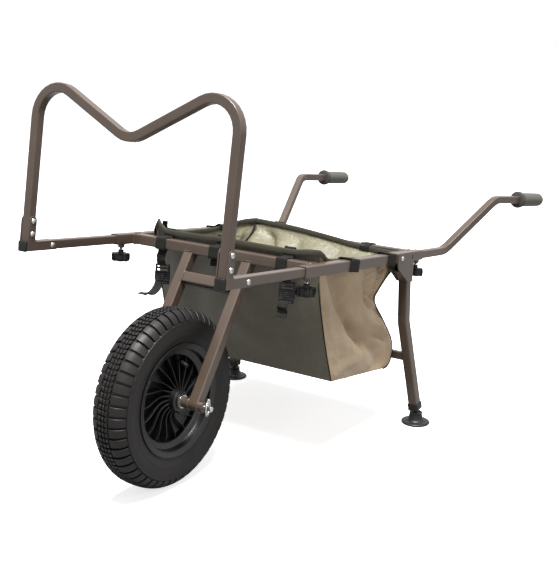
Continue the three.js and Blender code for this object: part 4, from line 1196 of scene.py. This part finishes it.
def loop_line(reach, rim_up):
    """The webbing's path round a rail, as (towards the bag, up): both its ends lap over the bag's binding."""
    out, corner = LOOP_OUT, LOOP_CORNER
    return (
        (reach + 2.4, rim_up - LAP_DOWN), (reach + 2.6, rim_up - 2), (reach - 2, rim_up + 2.5),
        (corner, out + 0.8), (0, out), (-corner, out), (-out, corner), (-out, 0), (-out, -corner),
        (-corner, -out), (0, -out), (corner, -out), (out, -corner), (out, 0), (out, 8),
        (reach - 3.6, rim_up - 5), (reach - 2.8, rim_up - LAP_DOWN),
    )


def webbing_strip(line, width, at, inward, across, wobble=0.5):
    """A strip of webbing along a line of (inward, up) points from a place, as wide as given along across."""
    at, inward, across = Vector(at), Vector(inward), Vector(across)

    def point(side_share, share):
        a, b = by_length(line, share)
        shake = noise.noise(at * 0.07 + Vector((side_share * 2, share * 7, 0.5))) * wobble
        return at + inward * (a + shake) + UP * (b + shake) + across * ((side_share - 0.5) * width)

    strip = cloth_panel(point, 8, 72)
    thicken(strip, WEBBING)
    return strip


# Loops: the rail point they go round, which way the bag is, how far in and how high the mouth is, their width
SIDE_LOOP, END_LOOP = 38, 28
LOOPS = (
    ((RAIL_AT, -237, 0), (-1, 0, 0), 19.6, 11, SIDE_LOOP),
    ((RAIL_AT, -52, 0), (-1, 0, 0), 19.6, 11, SIDE_LOOP),
    ((-RAIL_AT, -237, 0), (1, 0, 0), 24, 11, SIDE_LOOP),
    ((-RAIL_AT, -52, 0), (1, 0, 0), 27, 20, SIDE_LOOP),
    ((-164, FRONT_RAIL, 0), (0, 1, 0), 18, 31, END_LOOP),
    ((-8, FRONT_RAIL, 0), (0, 1, 0), 15, 35, END_LOOP),
    ((175, FRONT_RAIL, 0), (0, 1, 0), 17, 33, END_LOOP),
    ((-135, REAR_RAIL, 0), (0, -1, 0), 19, 34, END_LOOP),
    ((135, REAR_RAIL, 0), (0, -1, 0), 19, 9, END_LOOP),
)
# The loops at this place along the rails sit beside the folding legs' plates, and are made as a piece of their
# own
PUSHED_LOOP_AT = -52
STRAP_WIDE = 25
FAR_STRAP, MIDDLE_STRAP, NEAR_STRAP = (-164, FRONT_RAIL, 0), (-8, FRONT_RAIL, 0), (188, FRONT_RAIL, 0)
# Straps under the front cross rail: the place along it, and the strip's line as (towards the bag, up)
STRAPS = (
    (FAR_STRAP, ((-3, -14), (-6, -28), (-5, -42), (0, -52))),
    (FAR_STRAP, ((0, -92), (-6, -104), (-16, -114), (-30, -118), (-46, -115), (-60, -117))),
    (MIDDLE_STRAP, ((0, -14), (-3, -22), (-2, -33))),
    (NEAR_STRAP, ((-2, -14), (-5, -24), (-6, -32), (-2, -40))),
    (NEAR_STRAP, ((0, -80), (-6, -92), (-2, -104), (-6, -116))),
)
# Buckles: their strap, how far they hang down, how far they turn and lean in degrees, and the CAD strap
BUCKLES = {
    "far": (FAR_STRAP, 50, 24, 5, "front_strap_right"),
    "near": (NEAR_STRAP, 38, 26, 4, "front_strap_left"),
}


def buckle_bar(width, thick, high, x, z):
    """A rounded bar of the buckle."""
    bar = box(width, thick, high, x, z)
    modify(bar, "BEVEL", width=min(width, thick, high) * 0.28 * MM, segments=3)
    return bar


def make_buckle():
    """Side-release buckle, 36 mm wide and 46 mm long, hanging down from the origin."""
    shell = box(36, 9, 22, z=-28)
    bpy.ops.object.mode_set(mode="EDIT")
    bpy.ops.mesh.select_all(action="DESELECT")
    object_mode()
    for face in shell.data.polygons:
        face.select = max(abs(face.normal.x), abs(face.normal.y)) > 0.9
    bpy.ops.object.mode_set(mode="EDIT")
    bpy.ops.mesh.select_mode(type="FACE")
    bpy.ops.mesh.inset(thickness=2.4 * MM, depth=-1.8 * MM, use_individual=True)
    object_mode()
    bevel(shell, 1.0, 3, 40)
    parts = [shell]
    # Prongs' shoulders in the side windows, the thumb ridge, and the frames that hold the webbing
    parts += [buckle_bar(3.4, 6, 14, side * 16.6, -27) for side in (-1, 1)]
    parts += [buckle_bar(14, 10, 2.2, 0, -24 - 4 * i) for i in range(3)]
    parts += [buckle_bar(34, 7, 4, 0, level) for level in (-2, -9.5, -41, -46)]
    for side in (-1, 1):
        parts += [buckle_bar(4, 7, long, side * 15.2, level) for level, long in ((-9, 17), (-42, 10))]
    return join(parts)


def sew_on(piece, name, angle=60, stands_for=(), finish=webbing_tape):
    """Smooths a piece of the bag's trimming, puts it in its place and dresses it."""
    smooth(piece, angle)
    place(piece, CHASSIS)
    return dress(piece, name, "chassis", "webbing_tape", stands_for, finish)


def make_straps():
    strips, pushed = [], []
    for at, inward, reach, rim_up, wide in LOOPS:
        loop = webbing_strip(loop_line(reach, rim_up), wide, at, inward, Vector(inward).cross(UP))
        (pushed if at[1] == PUSHED_LOOP_AT else strips).append(loop)
    beside_legs = sew_on(join(pushed), "webbing_beside_legs", 50, ("bag_binding",))
    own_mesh(beside_legs)
    strips += [webbing_strip(line, STRAP_WIDE, at, BACKWARDS, SIDEWAYS, wobble=2) for at, line in STRAPS]
    sew_on(join(strips), "bag_webbing", 50, ("bag_binding", "front_strap_left", "front_strap_right"))
    buckle = make_buckle()
    smooth(buckle, 35)
    for name, (at, drop, turn, lean, node) in BUCKLES.items():
        angle = Matrix.Rotation(math.radians(turn), 4, "Z") @ Matrix.Rotation(math.radians(lean), 4, "X")
        piece = twin(buckle, chassis_frame(at[0], at[1] - 1, at[2] - drop, angle))
        dress(piece, f"strap_buckle_{name}", "chassis", "black_plastic", (node,))
    remove(buckle)


def make_edging():
    """Tape round the mouth, seam allowances inside the corners, and the piped outer seams."""
    tape = cloth_panel(binding_point, 260, 14)
    only(tape)
    edit_all()
    bpy.ops.mesh.remove_doubles(threshold=0.05 * MM)
    object_mode()
    thicken(tape, TAPE_THICK)
    hang_on_rails(sew_on(tape, "mouth_binding", stands_for=("bag_binding",), finish=binding_tape))
    for side_name, side in SIDES.items():
        for at_rear, name in ((0, "front"), (1, "rear")):
            seam = cloth_panel(seam_point(side, at_rear), 3, 40)
            thicken(seam, SEAM_THICK)
            hang_on_rails(sew_on(seam, f"seam_tape_{side_name}_{name}"))
            edge = side_point(side)
            line = [Vector(edge(at_rear, 0.06 + 0.94 * i / 48)) * MM for i in range(49)]
            piping = wire(line, PIPING[at_rear] * MM)
            hang_on_rails(sew_on(piping, f"piping_{side_name}_{name}"))


def make_bag():
    make_edging()
    make_straps()
    for name, (point_at, columns, rows, slot_name) in PANELS.items():
        panel = cloth_panel(point_at, columns, rows)
        face_away(panel)
        lining = twin(panel, Matrix.Identity(4))
        for vertex in lining.data.vertices:
            vertex.co -= vertex.normal * (CLOTH + LINING_GAP) * MM
        outside = khaki_polyester if slot_name == "khaki_cloth" else olive_polyester
        for piece, kind, thick, slot, finish in (
            (panel, "panel", CLOTH, slot_name, outside), (lining, "lining", COATING, "olive_cloth", bag_lining),
        ):
            thicken(piece, thick, offset=-1)
            smooth(piece, 60)
            place(piece, CHASSIS)
            dress(piece, f"bag_{kind}_{name}", "chassis", slot, (f"bag_{name}",), finish)
            hang_on_rails(piece)
            cut_size(point_at)


# Floor, background and light
FLOOR_WHITE = "#F4F4F4"
FLOOR_BOUNCE = "#8C8C8C"
FLOOR_GLOW = 0.72
FLOOR_WIDE = 40
WHITE = (1, 1, 1, 1)
WORLD_LIGHT = 0.25
# Lamps: place, width in metres and watts; both aim at the trolley's middle
LAMPS = {"key_softbox": ((0.9, -1.5, 6.8), 3.0, 1380), "side_fill": ((2.9, -0.4, 2.0), 1.6, 15)}
LAMP_TARGET = Vector((0, 0, 0.4))


def make_floor():
    """White as the camera sees it, and grey in what it throws back on the trolley."""
    bpy.ops.mesh.primitive_plane_add(size=FLOOR_WIDE)
    floor = bpy.context.active_object
    floor.name = "studio_floor"
    material, tree, shader = start_material("white_floor_paint", roughness=0.9)
    seen = add_node(tree, "ShaderNodeLightPath").outputs["Is Camera Ray"]
    shades = {0: seen, 6: linear(FLOOR_BOUNCE), 7: linear(FLOOR_WHITE)}
    paint = add_node(tree, "ShaderNodeMix", shades, data_type="RGBA")
    tree.links.new(paint.outputs[2], shader.inputs["Base Color"])
    shader.inputs["Emission Color"].default_value = WHITE
    glow = add_node(tree, "ShaderNodeMath", {0: seen, 1: FLOOR_GLOW}, operation="MULTIPLY")
    tree.links.new(glow.outputs[0], shader.inputs["Emission Strength"])
    floor.data.materials.append(material)


def make_world():
    """White where it is seen, directly or in a reflection, and dim as a light."""
    world = bpy.data.worlds.new("white_studio")
    bpy.context.scene.world = world
    world.use_nodes = True
    tree = world.node_tree
    tree.nodes.clear()
    path = add_node(tree, "ShaderNodeLightPath")
    seen = path.outputs["Is Camera Ray"]
    for ray in ("Is Transmission Ray", "Is Glossy Ray"):
        seen = add_node(tree, "ShaderNodeMath", {0: seen, 1: path.outputs[ray]}, operation="MAXIMUM").outputs[0]
    plain, white = (
        add_node(tree, "ShaderNodeBackground", {"Color": WHITE, "Strength": strength}).outputs[0]
        for strength in (WORLD_LIGHT, 1)
    )
    mix = add_node(tree, "ShaderNodeMixShader", {0: seen, 1: plain, 2: white})
    add_node(tree, "ShaderNodeOutputWorld", {"Surface": mix.outputs[0]})


def make_lamps():
    for name, (place_at, size, watts) in LAMPS.items():
        data = bpy.data.lights.new(name, "AREA")
        data.shape = "DISK"
        data.size = size
        data.energy = watts
        lamp = bpy.data.objects.new(name, data)
        bpy.context.collection.objects.link(lamp)
        lamp.location = place_at
        lamp.rotation_euler = (LAMP_TARGET - lamp.location).to_track_quat("-Z", "Y").to_euler()


make_camera()
make_skins()
make_tyre()
make_rim()
make_knobs()
make_grips()
make_feet()
make_screws()
make_plugs()
make_lynch_ring()
make_welds()
make_bag()
make_floor()
make_world()
make_lamps()
